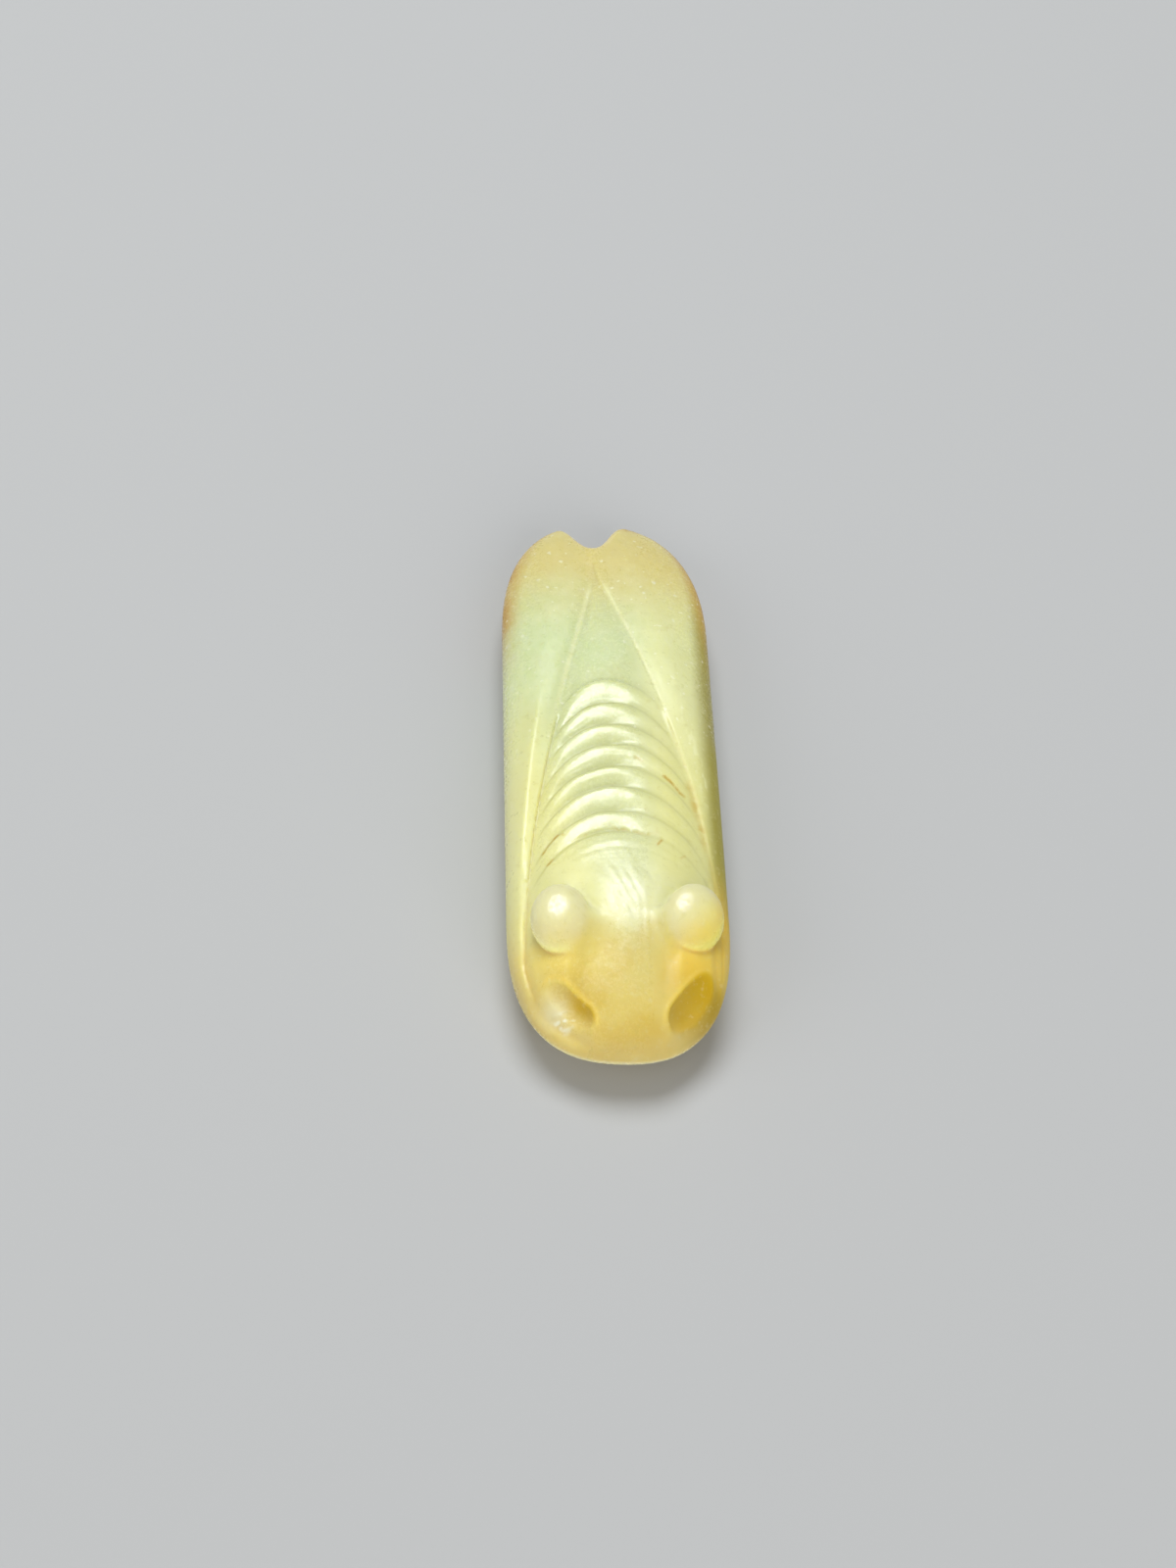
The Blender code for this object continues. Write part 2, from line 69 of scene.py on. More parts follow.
RIDGE_RAISE, RIDGE_SPREAD, WING_INNER_SLOPE = 0.18, 1.1, 0.21
AXIS_SHIFT_HEAD, AXIS_SHIFT_TAIL, AXIS_SHIFT_Y, AXIS_SHIFT_RUN = 0.15, -1.2, -22.0, 49.0
RIB_CRESTS = (7.3, 4.2, 1.5, -1.2, -4.0, -6.5, -9.4, -11.8)
RIB_DEPTH, LAST_RIB_SHARE, RIB_WALL_SHARE, RIB_RISE_POWER = 0.7, 0.5, 0.16, 1.6
RIB_ARC_RATIO, RIB_RUNOUT_DEPTH, RIB_RUNOUT, RIB_FADE_SHARE, RIB_BORDER_SINK = 1.06, 0.4, 4.5, 0.2, 0.55
ABDOMEN_CROWN_POWER, SHOULDER_CROWN_POWER = 3.0, 8.0
CROWN_CHANGE_Y, CROWN_CHANGE_RUN = -20.0, 12.0
APEX_SINK, APEX_SINK_RUN = 0.4, 15.4
WING_FRONT_Y, WING_FRONT_RUN = -29.5, 4.0
NOTCH_X, NOTCH_INSET, NOTCH_HALF_WIDTH, NOTCH_FLARE = -1.08, 5.2, 2.69, 0.88
TAIL_SLOPE_LOSS, TAIL_SLOPE_Y, TAIL_SLOPE_RUN = 0.6, 14.0, 14.0
EYE_MOAT_DEPTH, EYE_BACK_DEPTH, EYE_MOAT_WIDTH = 0.25, 0.16, 0.6
# Middle, half sizes, lean to +X and lean to the snout of each eye
EYES = (((-5.95, -20.95, 10.35), (2.75, 3.3, 2.25), math.radians(5), math.radians(16)),
        ((6.38, -20.52, 10.35), (3.1, 3.3, 2.0), math.radians(30), math.radians(24)))
EYE_FLAT_WAY = np.array([-0.113, -0.141, 0.984])    # the way the worn flats on the eyes face
EYE_FLAT_HEIGHTS = (2.17, 2.41)                     # of the flats over the middles of the eyes
EYE_WEAR, EYE_FLAT_WEAR = 0.010, 0.022
# Both ends and radii of the rounded scoops beside the face, within 0.4 mm of the solid's
HOLLOWS = (((-4.8, -30.5, 8.6), 2.05, (-7.4, -28.3, 9.8), 2.2),
           ((6.4, -30.1, 8.7), 2.65, (9.3, -26.4, 10.2), 2.55))
# Ways out of the right scoop: along one it is stretched, along the other its rim turns soft
SCOOP_OPEN_WAY, SCOOP_STRETCH = (0.72, -0.6, -0.35), 0.45
SCOOP_SOFT_WAY = (0.5, -0.8, -0.33)
# The dome between the eyes: a flat that falls to the snout and rises to a low edge on the right
DOME_STATIONS = (-26.0, -22.6, -21.0, -18.4, -16.8, -13.6, -12.6)
DOME_SLOPES = (0.26, 0.26, 0.19, 0.14, 0.0, 0.0, 0.013)
DOME_HEAD, DOME_TAIL, DOME_BACK, DOME_BACK_RUN = -31.0, -12.0, -15.6, 2.8
DOME_EDGE_X, DOME_TILT, DOME_EDGE_FALL, DOME_FALL_LIMIT = 1.9, 0.045, 0.24, 0.6
# On its left the dome falls off past a slanted line, rounded, and to a depth that it nears softly
DOME_LINE_X, DOME_LINE_Y, DOME_LINE_SLANT = -2.5, -17.0, 0.42
DOME_LINE_LEFT, DOME_LINE_RIGHT = -2.6, 0.2
DOME_FALL_SLOPE, DOME_FALL_ROUND, DOME_FALL_DEPTH = 0.26, 1.4, 0.35

# Wear: reach of the blur on crisp carving, on worn carving and on polished facets
CRISP_BLUR, WORN_BLUR, BROAD_BLUR = 0.08, 0.6, 1.1
# Share of the inner slope that the right wing has, and its loss at the head
RIGHT_SLOPE_SHARE, RIGHT_SLOPE_LOSS = 0.55, 1.05
# Line and lip between the abdomen and the wings
BORDER_DEPTH, BORDER_WIDTH = 0.09, 0.13
LIP_PLACE, LIP_WIDTH, LIP_RAISE, LIP_LEFT_RAISE, LIP_GLEAM_WIDTH = 0.25, 0.2, 0.045, 0.012, 0.26
TAIL_HUMP, TAIL_HUMP_WIDTH, TAIL_HUMP_Y = 0.22, 1.6, 24.0
# Ragged ledge under the last rib, and two shallow edges across the shoulders
LEDGE_Y, LEDGE_RUN, LEDGE_DEPTH, LEDGE_HALF = -11.05, 1.65, 0.10, 4.6
SHOULDER_EDGES = ((-12.75, 0.022), (-13.75, 0.018))
# Turned marks of the tool before the shoulders, and the ripple of hand work on the abdomen
RING_PITCH, RING_DEPTH = 0.42, 0.004
RIPPLE_PITCH, RIPPLE_DEPTH = 0.62, 0.009
WAVE_DEPTH, FINE_WAVE_DEPTH = 0.016, 0.0045
# Slanting streaks and dabs of the tool on the dome
STREAK_SLANT, STREAK_Y, STREAK_DEPTH, DAB_DEPTH = 0.5, -19.0, 0.030, 0.009
CHIPPED_PLACE, CHIPPED_REACH, CHIPPED_DEPTH = (-6.2, -30.4), 2.6, 0.028
# Place and reach of the painted glints on the floor of the left hollow
SPARK_PLACE, SPARK_REACH = (-5.45, -29.6), (1.0, 0.75)
GROOVE_DEPTH, GROOVE_WIDTH, GROOVE_BANK, GROOVE_BANK_PLACE = 0.10, 0.28, 0.04, 0.5
CRACK_DEPTH, CRACK_WIDTH = 0.05, 0.09

# Fineness of the skin
CELL = 0.17                       # of the carved top; the plain belly takes cells twice as wide
BELLY_TOP = 5.0                   # the coarse cells end at this height
ROUGH_CELLS = 4                   # cells along a block of the first, rough search
MAP_STEP = 0.05                   # of the height map of the carving
MAP_HALF_WIDTH, MAP_HEAD, MAP_TAIL = 11.5, -33.5, 34.5
TINY = 0.01


def ease(t):
    t = np.clip(t, 0.0, 1.0)
    return t * t * (3.0 - 2.0 * t)


def bump(distance, width):
    """A rounded bump, 1 at no distance."""
    return np.exp(-(distance / width) ** 2)


def end_share(distance, length, power):
    """What an end that rounds off over a length leaves, before the root is taken. Below 0 past the end."""
    return 1.0 - np.clip(1.0 - distance / length, 0.0, None) ** power


def root(share, power):
    return np.maximum(share, 0.002) ** (1.0 / power)


def half_width(y):
    head = root(end_share(y + HEAD_REACH, HEAD_CAP, HEAD_CAP_POWER), HEAD_CAP_POWER)
    return HALF_WIDTH * head * root(end_share(TAIL_REACH - y, TAIL_CAP, TAIL_CAP_POWER), TAIL_CAP_POWER)


def end_rises(y):
    """How far the belly has risen towards the head and towards the tail, in shares."""
    forward = np.clip((-BELLY_FLAT_HALF - y) / BELLY_RISE_RUN, 0.0, None)
    behind = np.clip((y - BELLY_FLAT_HALF) / BELLY_RISE_RUN, 0.0, None)
    return forward ** 2, behind ** 2


def waist_height(y):
    forward, behind = end_rises(y)
    return WAIST_HEIGHT - (WAIST_HEIGHT - NOSE_HEIGHT) * forward - (WAIST_HEIGHT - TAIL_HEIGHT) * behind


def crest_height(y):
    return CREST_HEIGHT - BACK_FALL * (np.clip(y - CREST_Y, 0.0, None) / BACK_FALL_RUN) ** 2


def keel_height(y):
    forward, behind = end_rises(y)
    return CHIN_RISE * forward + TAIL_RISE * behind - REST_FLAT_CUT


def back_height(x, y):
    out = np.clip(np.abs(x) / np.maximum(half_width(y), TINY), 0.0, 1.0)
    share = root(end_share(y + HEAD_REACH, FACE_SLOPE, FACE_SLOPE_POWER), FACE_SLOPE_POWER)
    share = share * root(end_share(TAIL_REACH - y, TAIL_EDGE, TAIL_EDGE_POWER), TAIL_EDGE_POWER)
    share = share * (1.0 - out ** SECTION_POWER) ** (1.0 / SECTION_POWER)
    return waist_height(y) + (crest_height(y) - waist_height(y)) * share


def plain_body(x, y, z):
    """Below 0 inside the uncarved body, above 0 outside, smooth through the surface and past both ends."""
    head_plan = end_share(y + HEAD_REACH, HEAD_CAP, HEAD_CAP_POWER)
    tail_plan = end_share(TAIL_REACH - y, TAIL_CAP, TAIL_CAP_POWER)
    face = end_share(y + HEAD_REACH, FACE_SLOPE, FACE_SLOPE_POWER)
    chin = end_share(y + HEAD_REACH, CHIN_CAP, CHIN_CAP_POWER)
    tail_edge = end_share(TAIL_REACH - y, TAIL_EDGE, TAIL_EDGE_POWER)
    width = HALF_WIDTH * root(head_plan, HEAD_CAP_POWER) * root(tail_plan, TAIL_CAP_POWER)
    waist = waist_height(y)
    tail_share = root(tail_edge, TAIL_EDGE_POWER)
    over = (crest_height(y) - waist) * root(face, FACE_SLOPE_POWER) * tail_share
    under = (waist - keel_height(y)) * root(chin, CHIN_CAP_POWER) * tail_share
    lift = np.where(z > waist, over, under)
    section = (np.abs(x) / width) ** SECTION_POWER + (np.abs(z - waist) / lift) ** SECTION_POWER
    left = np.minimum(np.minimum(head_plan, tail_plan), np.minimum(np.minimum(face, chin), tail_edge))
    kept = np.maximum(left, 0.002)
    return kept * (section - 1.0) + np.maximum(0.002 - left, 0.0)


def slope_of(function, points, reach):
    """Gradient of a function of points."""
    parts = []
    for axis in range(3):
        step = np.zeros(3)
        step[axis] = reach
        parts.append((function(points + step) - function(points - step)) / (2 * reach))
    return np.stack(parts, axis=1)


def axis_shift(y):
    along = np.clip((y - AXIS_SHIFT_Y) / AXIS_SHIFT_RUN, 0.0, None)
    return AXIS_SHIFT_HEAD + (AXIS_SHIFT_TAIL - AXIS_SHIFT_HEAD) * along ** 2


def wing_edge(y):
    open_share = np.clip((WING_APEX_Y - y) / WING_OPEN_RUN, 0.0, 1.0) ** WING_OPEN_POWER
    edge = WING_OPEN_HALF * np.sin(math.pi / 2 * open_share)
    return np.minimum(edge, WING_EDGE_SHARE * half_width(y))


def wing_ridge(y):
    along = np.clip((y - RIDGE_BAND_Y) / RIDGE_BAND_RUN, 0.0, 1.0)
    band = RIDGE_BAND_HEAD + RIDGE_BAND_GAIN * along ** RIDGE_BAND_POWER
    return np.minimum(wing_edge(y) + band, RIDGE_SHARE * half_width(y))


def rib_arc(x, y, edge):
    """Station of the rib arc that runs through a point of the plan."""
    radius = RIB_ARC_RATIO * np.maximum(edge, TINY)
    return y + radius - np.sqrt(np.clip(radius ** 2 - x ** 2, 0.0, None))


def rib_sink(x, arc_y, edge):
    crests = np.array(RIB_CRESTS)
    phase = np.interp(-arc_y, -crests, np.arange(len(crests)))
    share = phase - np.floor(phase)
    slope = (share / (1.0 - RIB_WALL_SHARE)) ** RIB_RISE_POWER
    wall = (1.0 - share) / RIB_WALL_SHARE
    depth = np.where(phase > len(crests) - 2, LAST_RIB_SHARE, 1.0) * RIB_DEPTH
    sink = depth * np.minimum(slope, wall)
    behind = arc_y - crests[0]
    wall_run = RIB_WALL_SHARE * (crests[0] - crests[1])
    runout = RIB_RUNOUT_DEPTH * np.minimum(behind / wall_run, np.exp(-behind / RIB_RUNOUT))
    sink = np.where(behind > 0.0, runout, sink)
    kept = ease((1.0 - np.abs(x) / np.maximum(edge, TINY)) / RIB_FADE_SHARE)
    level = RIB_BORDER_SINK * RIB_DEPTH * ease((0.5 - behind) / 1.5)
    level = level * ease((arc_y - crests[-1] + 1.5) / 2.0)
    return sink * kept + level * (1.0 - kept)


def blurred(grid, reach):
    """The grid under a bell-shaped blur that reaches this many millimetres."""
    half = max(int(math.ceil(3 * reach / MAP_STEP)), 1)
    weights = np.exp(-0.5 * (np.arange(-half, half + 1) * MAP_STEP / reach) ** 2)
    weights /= weights.sum()
    for axis in (0, 1):
        padded = np.pad(grid, [(half, half) if a == axis else (0, 0) for a in (0, 1)], mode="edge")
        total = np.zeros_like(grid)
        for i, weight in enumerate(weights):
            window = [slice(None), slice(None)]
            window[axis] = slice(i, i + grid.shape[axis])
            total += weight * padded[tuple(window)]
        grid = total
    return grid


def soft_noise(shape, reach_y, reach_x, seed):
    """Smooth noise of about unit size whose grains are this long and this wide, in millimetres."""
    rng = np.random.default_rng(seed)
    rows = int(shape[0] * MAP_STEP / reach_y) + 4
    columns = int(shape[1] * MAP_STEP / reach_x) + 4
    coarse = rng.standard_normal((rows, columns))
    along = np.arange(shape[0]) * MAP_STEP / reach_y
    across = np.arange(shape[1]) * MAP_STEP / reach_x
    row, column = along.astype(int), across.astype(int)
    fy, fx = ease(along - row)[:, None], ease(across - column)[None, :]
    corner = [[coarse[np.ix_(row + i, column + j)] for j in (0, 1)] for i in (0, 1)]
    near = corner[0][0] * (1 - fx) + corner[0][1] * fx
    far = corner[1][0] * (1 - fx) + corner[1][1] * fx
    return near * (1 - fy) + far * fy


def dome_relief(x, y):
    """Lowers the dome between the eyes to a flat, with a low edge on the right and a soft left side."""
    station = np.arange(DOME_HEAD, DOME_TAIL, MAP_STEP)
    fall = np.gradient(back_height(0.0, station), station)
    extra = np.interp(station, DOME_STATIONS, DOME_SLOPES) - fall
    extra = np.where(station > DOME_STATIONS[2], extra, np.maximum(extra, 0.0))
    extra = extra * (station < DOME_STATIONS[-1])
    drop = np.cumsum(extra[::-1])[::-1] * MAP_STEP
    drop = drop * ease((station - DOME_HEAD + 0.5) / 5.5)
    sink = -np.interp(y, station, drop, left=0.0, right=0.0)
    window = ease((x + 5.6) / 2.0) * (1.0 - ease((x - 3.4) / 1.8))
    start = ease((DOME_BACK - y) / DOME_BACK_RUN)
    past_edge = x - DOME_EDGE_X
    after_edge = DOME_TILT * (DOME_EDGE_X + 1.0) - DOME_EDGE_FALL * past_edge
    rise = np.where(past_edge < 0.0, DOME_TILT * (x + 1.0), after_edge)
    rise = np.maximum(rise, -DOME_FALL_LIMIT) * (start * ease((y + 29.5) / 8.0))
    line = np.clip(DOME_LINE_X + DOME_LINE_SLANT * (DOME_LINE_Y - y), DOME_LINE_LEFT, DOME_LINE_RIGHT)
    past = np.clip(line - x, 0.0, None)
    rounded = past ** 2 / (2 * DOME_FALL_ROUND)
    fall_off = DOME_FALL_SLOPE * np.where(past < DOME_FALL_ROUND, rounded, past - DOME_FALL_ROUND / 2)
    fall_off = DOME_FALL_DEPTH * (1.0 - np.exp(-fall_off / DOME_FALL_DEPTH))
    fall_off = fall_off * start * ease((y + 34.0) / 8.0)
    return sink * window + (rise - fall_off) * window


def polyline_distance(x, y, points):
    """Distance in the plan to a line through a few points."""
    best = np.full(np.broadcast(x, y).shape, 1e3)
    for (ax, ay), (bx, by) in zip(points[:-1], points[1:]):
        length = math.hypot(bx - ax, by - ay)
        ux, uy = (bx - ax) / length, (by - ay) / length
        along = np.clip((x - ax) * ux + (y - ay) * uy, 0.0, length)
        best = np.minimum(best, np.hypot(x - ax - along * ux, y - ay - along * uy))
    return best


# Cracks, stained brown
CRACKS = (
    ((4.4, -4.27), (5.0, -4.75), (5.55, -5.37), (5.86, -5.84), (6.35, -6.06)),
    ((1.65, -2.48), (2.13, -2.72)),
    ((-7.26, -13.05), (-6.7, -12.17), (-5.92, -11.29), (-5.46, -11.7)),
)
# Grooves that run on from the wings beside the eyes to the cheeks
SIDE_GROOVES = (
    ((-9.0, -15.8), (-8.95, -20.0), (-9.0, -23.7), (-8.6, -25.6), (-8.1, -27.8)),
    ((8.13, -15.4), (8.3, -19.0), (8.45, -22.8), (8.6, -25.1), (8.64, -27.1)),
)
# Short brown ticks in the stone
FLECKS = (
    ((2.0, -2.6), (2.35, -2.9)),
    ((3.3, -12.9), (3.7, -12.3)),
    ((-6.9, -14.6), (-6.4, -14.1)),
    ((5.5, -14.0), (5.9, -13.6)),
)


class CarvingMap:
    """The carving's height over the plain back, and marks for the stone, on a fine grid of the plan."""

    def __init__(self):
        self.low = np.array([-MAP_HALF_WIDTH, MAP_HEAD])
        xs = np.arange(-MAP_HALF_WIDTH, MAP_HALF_WIDTH, MAP_STEP)
        self.x, self.y = np.meshgrid(xs, np.arange(MAP_HEAD, MAP_TAIL, MAP_STEP))
        self.across = self.x - axis_shift(self.y)
        self.right = self.across >= 0.0
        self.span = np.abs(self.across)
        self.edge = wing_edge(self.y)
        self.ridge = wing_ridge(self.y)
        self.past_edge = self.span - self.edge
        self.past_ridge = self.span - self.ridge
        self.front = ease((self.y - WING_FRONT_Y) / WING_FRONT_RUN)
        self.inside = ease((self.edge - self.span) / 1.5)
        self.arc_y = rib_arc(self.across, self.y, self.edge) + 0.07 * self.grains(2.5, 2.2, 9)
        self.stain = np.zeros_like(self.x)
        self.carve_ribs_and_wings()
        self.carve_border()
        self.carve_ledge()
        self.carve_shoulders()
        self.carve_hand_work()
        self.carve_lines()
        self.mark_dull_places()

    def grains(self, reach_y, reach_x, pattern):
        """Smooth noise over the map, with a pattern of its own for each number."""
        return soft_noise(self.x.shape, reach_y, reach_x, SEED + pattern)

    def slanted(self, grid):
        """The grid sheared along the slant of the tool on the dome."""
        return self.at(grid, self.x + STREAK_SLANT * (self.y - STREAK_Y), self.y)

    def stained(self, share):
        self.stain = np.maximum(self.stain, share)

    def carve_ribs_and_wings(self):
        """Ribbed abdomen, facets of the wings and their ridges: crisp on the left, worn on the right."""
        y, across, right = self.y, self.across, self.right
        span, edge, ridge = self.span, self.edge, self.ridge
        shift = axis_shift(y)
        side = np.where(right, 1.0, -1.0)
        ridge_top = back_height(shift + side * ridge, y) + RIDGE_RAISE
        slope = WING_INNER_SLOPE * (1.0 - TAIL_SLOPE_LOSS * ease((y - TAIL_SLOPE_Y) / TAIL_SLOPE_RUN))
        slope = slope * np.where(right, RIGHT_SLOPE_SHARE - RIGHT_SLOPE_LOSS * ease((2.0 - y) / 6.0), 1.0)
        edge_drop = back_height(shift + side * edge, y) - ridge_top + slope * (ridge - edge)
        crown = SHOULDER_CROWN_POWER + (ABDOMEN_CROWN_POWER - SHOULDER_CROWN_POWER) * ease(
            (y - CROWN_CHANGE_Y) / CROWN_CHANGE_RUN)
        apex_sink = APEX_SINK * ease((y - WING_APEX_Y + APEX_SINK_RUN) / APEX_SINK_RUN)
        fill = np.clip(span / np.maximum(edge, TINY), 0.0, 1.0)
        abdomen = -apex_sink - (edge_drop - apex_sink) * fill ** crown - rib_sink(across, self.arc_y, edge)
        inner = np.clip((ridge - span) / (ridge - edge), 0.0, 1.0)
        facet = ridge_top - slope * (ridge - span) * np.where(right, inner, 1.0) - back_height(self.x, y)
        flank = RIDGE_RAISE * (1.0 - ease(self.past_ridge / RIDGE_SPREAD))
        sharp = np.where(span < edge, abdomen, np.where(span < ridge, facet, flank))
        crisp, soft, broad = [blurred(sharp, reach) for reach in (CRISP_BLUR, WORN_BLUR, BROAD_BLUR)]
        near_ridge = bump(self.past_ridge, 0.9) * np.where(right, 1.0, 0.8 * ease((-11.0 - y) / 5.0))
        worn = np.maximum(near_ridge, 0.85 * ease((across + 1.2) / 4.5) * (span < edge))
        carved = crisp + (soft - crisp) * worn
        tail_part = ease((y - 1.0) / 9.0)
        smooth = tail_part * ease((self.past_edge - 0.5) / 1.1)
        smooth = np.maximum(smooth, (1.0 - tail_part) * right * ease((self.past_edge + 0.3) / 0.5))
        smooth = np.maximum(smooth, ease((y - WING_APEX_Y + 1.0) / 4.0))
        self.height = (carved + (broad - carved) * smooth) * self.front

    def carve_border(self):
        """Line and lip between abdomen and wing, a painted gleam along the lip, painted glints on the right
        ridge, and the stain along the line.
        """
        y, right = self.y, self.right
        border = bump(self.past_edge, BORDER_WIDTH) * self.front
        self.height -= border * BORDER_DEPTH * ease((6.0 - y) / 12.0)
        lip_end = ease((WING_APEX_Y - 0.8 - y) / 2.0)
        lip = bump(self.past_edge - LIP_PLACE, LIP_WIDTH) * self.front * lip_end
        left_raise = LIP_LEFT_RAISE + (LIP_RAISE - LIP_LEFT_RAISE) * ease((y - 8.0) / 6.0)
        self.height += lip * np.where(right, LIP_RAISE * ease((y - 3.0) / 6.0), left_raise)
        self.height += TAIL_HUMP * bump(self.across - 0.1, TAIL_HUMP_WIDTH) * ease((y - TAIL_HUMP_Y) / 3.5)
        gleam = np.where(right, 0.9 * ease((y - 1.0) / 7.0), 0.2 + 0.6 * ease((y - 2.0) / 8.0))
        self.light = bump(self.past_edge - LIP_PLACE, LIP_GLEAM_WIDTH) * self.front * gleam * lip_end
        # Painted glints in speckles along the right ridge
        painted_ridge_glints = ease((self.grains(0.6, 0.28, 12) - 0.1) / 0.6) * bump(self.past_ridge + 0.1, 0.42)
        painted_ridge_glints = painted_ridge_glints * right * ease((10.0 - y) / 3.0) * ease((y + 8.0) / 4.0)
        self.light = np.maximum(self.light, painted_ridge_glints)
        self.stained(0.3 * bump(self.past_edge, 0.14) * ease((6.0 - y) / 6.0) * self.front)
        tinted = right * ease((-3.5 - y) / 2.0) * ease((y + 13.0) / 3.0)
        self.stained(0.75 * bump(self.past_edge + 0.2, 0.42) * tinted)

    def carve_ledge(self):
        """Ragged ledge under the last rib."""
        wander = 0.22 * self.grains(0.9, 0.45, 0) + 0.1 * self.grains(0.4, 0.2, 1)
        past_ledge = self.arc_y - LEDGE_Y - wander
        below = ease((LEDGE_Y - self.arc_y) / 0.1) * ease((self.arc_y - LEDGE_Y + LEDGE_RUN) / 1.2)
        central = ease((LEDGE_HALF - np.abs(self.across + 0.4)) / 2.0) * self.inside
        self.height -= LEDGE_DEPTH * (1.0 - ease(past_ledge / 0.12)) * below * central
        self.stained(0.35 * (bump(past_ledge, 0.14) * central))

    def carve_shoulders(self):
        """Two shallow edges across the shoulders, and the turned marks of the tool before them."""
        for station, depth in SHOULDER_EDGES:
            past = self.arc_y - station
            self.height -= depth * ease(past / 0.2) * ease((0.9 - past) / 0.8) * self.inside
        dome_y = self.y + 18.0 + 0.03 * self.across ** 2
        rings = np.sin((dome_y + 0.1 * self.grains(1.5, 1.5, 2)) * 2 * math.pi / RING_PITCH)
        self.height += RING_DEPTH * rings * bump(self.across - 0.6, 3.2) * bump(self.y + 14.6, 1.5)

    def carve_hand_work(self):
        """Gentle waviness of hand work, the lowered dome, and the streaks, dabs and chips on the head."""
        x, y, across = self.x, self.y, self.across
        fine = self.grains(1.6, 2.6, 6)
        ripple = np.sin(2 * math.pi * (self.arc_y + 0.12 * fine) / RIPPLE_PITCH) * ease(fine + 0.4)
        ripple = RIPPLE_DEPTH * ripple * ease((self.edge - self.span) / 0.8)
        self.height += ripple * ease((8.5 - self.arc_y) / 1.0) * ease((y + 12.0) / 2.0)
        self.height += dome_relief(x, y)
        self.height += WAVE_DEPTH * self.grains(2.6, 1.9, 3)
        self.height += FINE_WAVE_DEPTH * self.grains(0.9, 0.7, 4)
        streaks = self.slanted(self.grains(1.9, 0.42, 5))
        self.height += STREAK_DEPTH * streaks * bump(across + 0.6, 2.8) * bump(y + 18.5, 3.0)
        dabs = self.slanted(self.grains(0.7, 0.32, 8))
        on_dome = bump(across - 0.5, 3.2) * bump(y + 18.5, 4.0)
        self.height += DAB_DEPTH * dabs * np.maximum(on_dome, bump(self.past_ridge, 0.7))
        chipped = bump(np.hypot(x - CHIPPED_PLACE[0], y - CHIPPED_PLACE[1]), CHIPPED_REACH)
        self.height += CHIPPED_DEPTH * (self.grains(0.42, 0.3, 7) * chipped)
        # Painted glints on the floor of the left hollow
        away = np.hypot((x - SPARK_PLACE[0]) / SPARK_REACH[0], (y - SPARK_PLACE[1]) / SPARK_REACH[1])
        self.painted_hollow_glints = ease((self.grains(0.18, 0.36, 11) + 0.1) / 0.6) * ease(1.4 - away)

    def carve_lines(self):
        """Side grooves, cracks and flecks."""
        for points in SIDE_GROOVES:
            away = polyline_distance(self.x, self.y, points)
            self.height -= GROOVE_DEPTH * bump(away, GROOVE_WIDTH)
            self.height += GROOVE_BANK * bump(away - GROOVE_BANK_PLACE, 0.25)
        for points in CRACKS:
            away = polyline_distance(self.x, self.y, points)
            self.height -= CRACK_DEPTH * bump(away, CRACK_WIDTH)
            self.stained(1.6 * bump(away, 0.13))
        for points in FLECKS:
            self.stained(1.1 * bump(polyline_distance(self.x, self.y, points), 0.11))

    def mark_dull_places(self):
        """The bottoms of the grooves between the ribs, the worn right side, the shoulders, the ridges."""
        x, y, right = self.x, self.y, self.right
        phase = np.interp(-self.arc_y, -np.array(RIB_CRESTS), np.arange(len(RIB_CRESTS)))
        share = phase - np.floor(phase)
        # The groove mask also darkens the colour in the rib grooves: painted shade, partly dirt
        groove = ease((share - 0.70) / 0.16) * (phase < len(RIB_CRESTS) - 1) * self.inside
        self.groove = groove * (1.0 - 0.7 * ease((self.across + 1.0) / 3.0))
        patches = 0.75 + 0.35 * self.grains(0.7, 0.5, 10)
        ridges = bump(self.past_ridge, 1.8) * np.where(right, 1.0, 0.6) * patches
        worn_side = 0.8 * ease((self.across - 1.5) / 2.5) * ease((self.edge - self.span) / 0.6)
        shoulder = ease((-14.6 - y) / 1.2) * ease((y + 24.5) / 1.5)
        shoulder = shoulder * np.maximum(ease((-1.0 - x) / 2.2), ease((x - DOME_EDGE_X - 0.3) / 0.5))
        right_border = right * ease((self.past_edge + 0.8) / 0.6) * ease((4.0 - y) / 4.0)
        dull = np.maximum.reduce([ridges, groove, worn_side, 0.9 * shoulder, right_border])
        self.matte = np.clip(dull, 0.0, 1.0)

    def at(self, grid, x, y):
        """Bilinear reading of one of the grids."""
        column = np.clip((x - self.low[0]) / MAP_STEP, 0, grid.shape[1] - 1.001)
        row = np.clip((y - self.low[1]) / MAP_STEP, 0, grid.shape[0] - 1.001)
        i, j = row.astype(int), column.astype(int)
        fy, fx = row - i, column - j
        near = grid[i, j] * (1 - fx) + grid[i, j + 1] * fx
        far = grid[i + 1, j] * (1 - fx) + grid[i + 1, j + 1] * fx
        return near * (1 - fy) + far * fy


carving = CarvingMap()


def soft_min(a, b, reach):
    blend = np.clip(1.0 - np.abs(a - b) / reach, 0.0, None)
    return np.minimum(a, b) - blend ** 2 * reach / 4


def soft_max(a, b, reach):
    return -soft_min(-a, -b, reach)


def oval_distance(points, center, half_sizes, lean, nod):
    """About the distance to an oval ball that leans to +X and then to -Y."""
    turn = np.array(Matrix.Rotation(lean, 3, "Y") @ Matrix.Rotation(nod, 3, "X"))
    local = (points - np.array(center)) @ turn
    half_sizes = np.array(half_sizes)
    scaled = np.linalg.norm(local / half_sizes, axis=1)
    slope = np.linalg.norm(local / half_sizes ** 2, axis=1)
    return scaled * (scaled - 1.0) / np.maximum(slope, 1e-6)


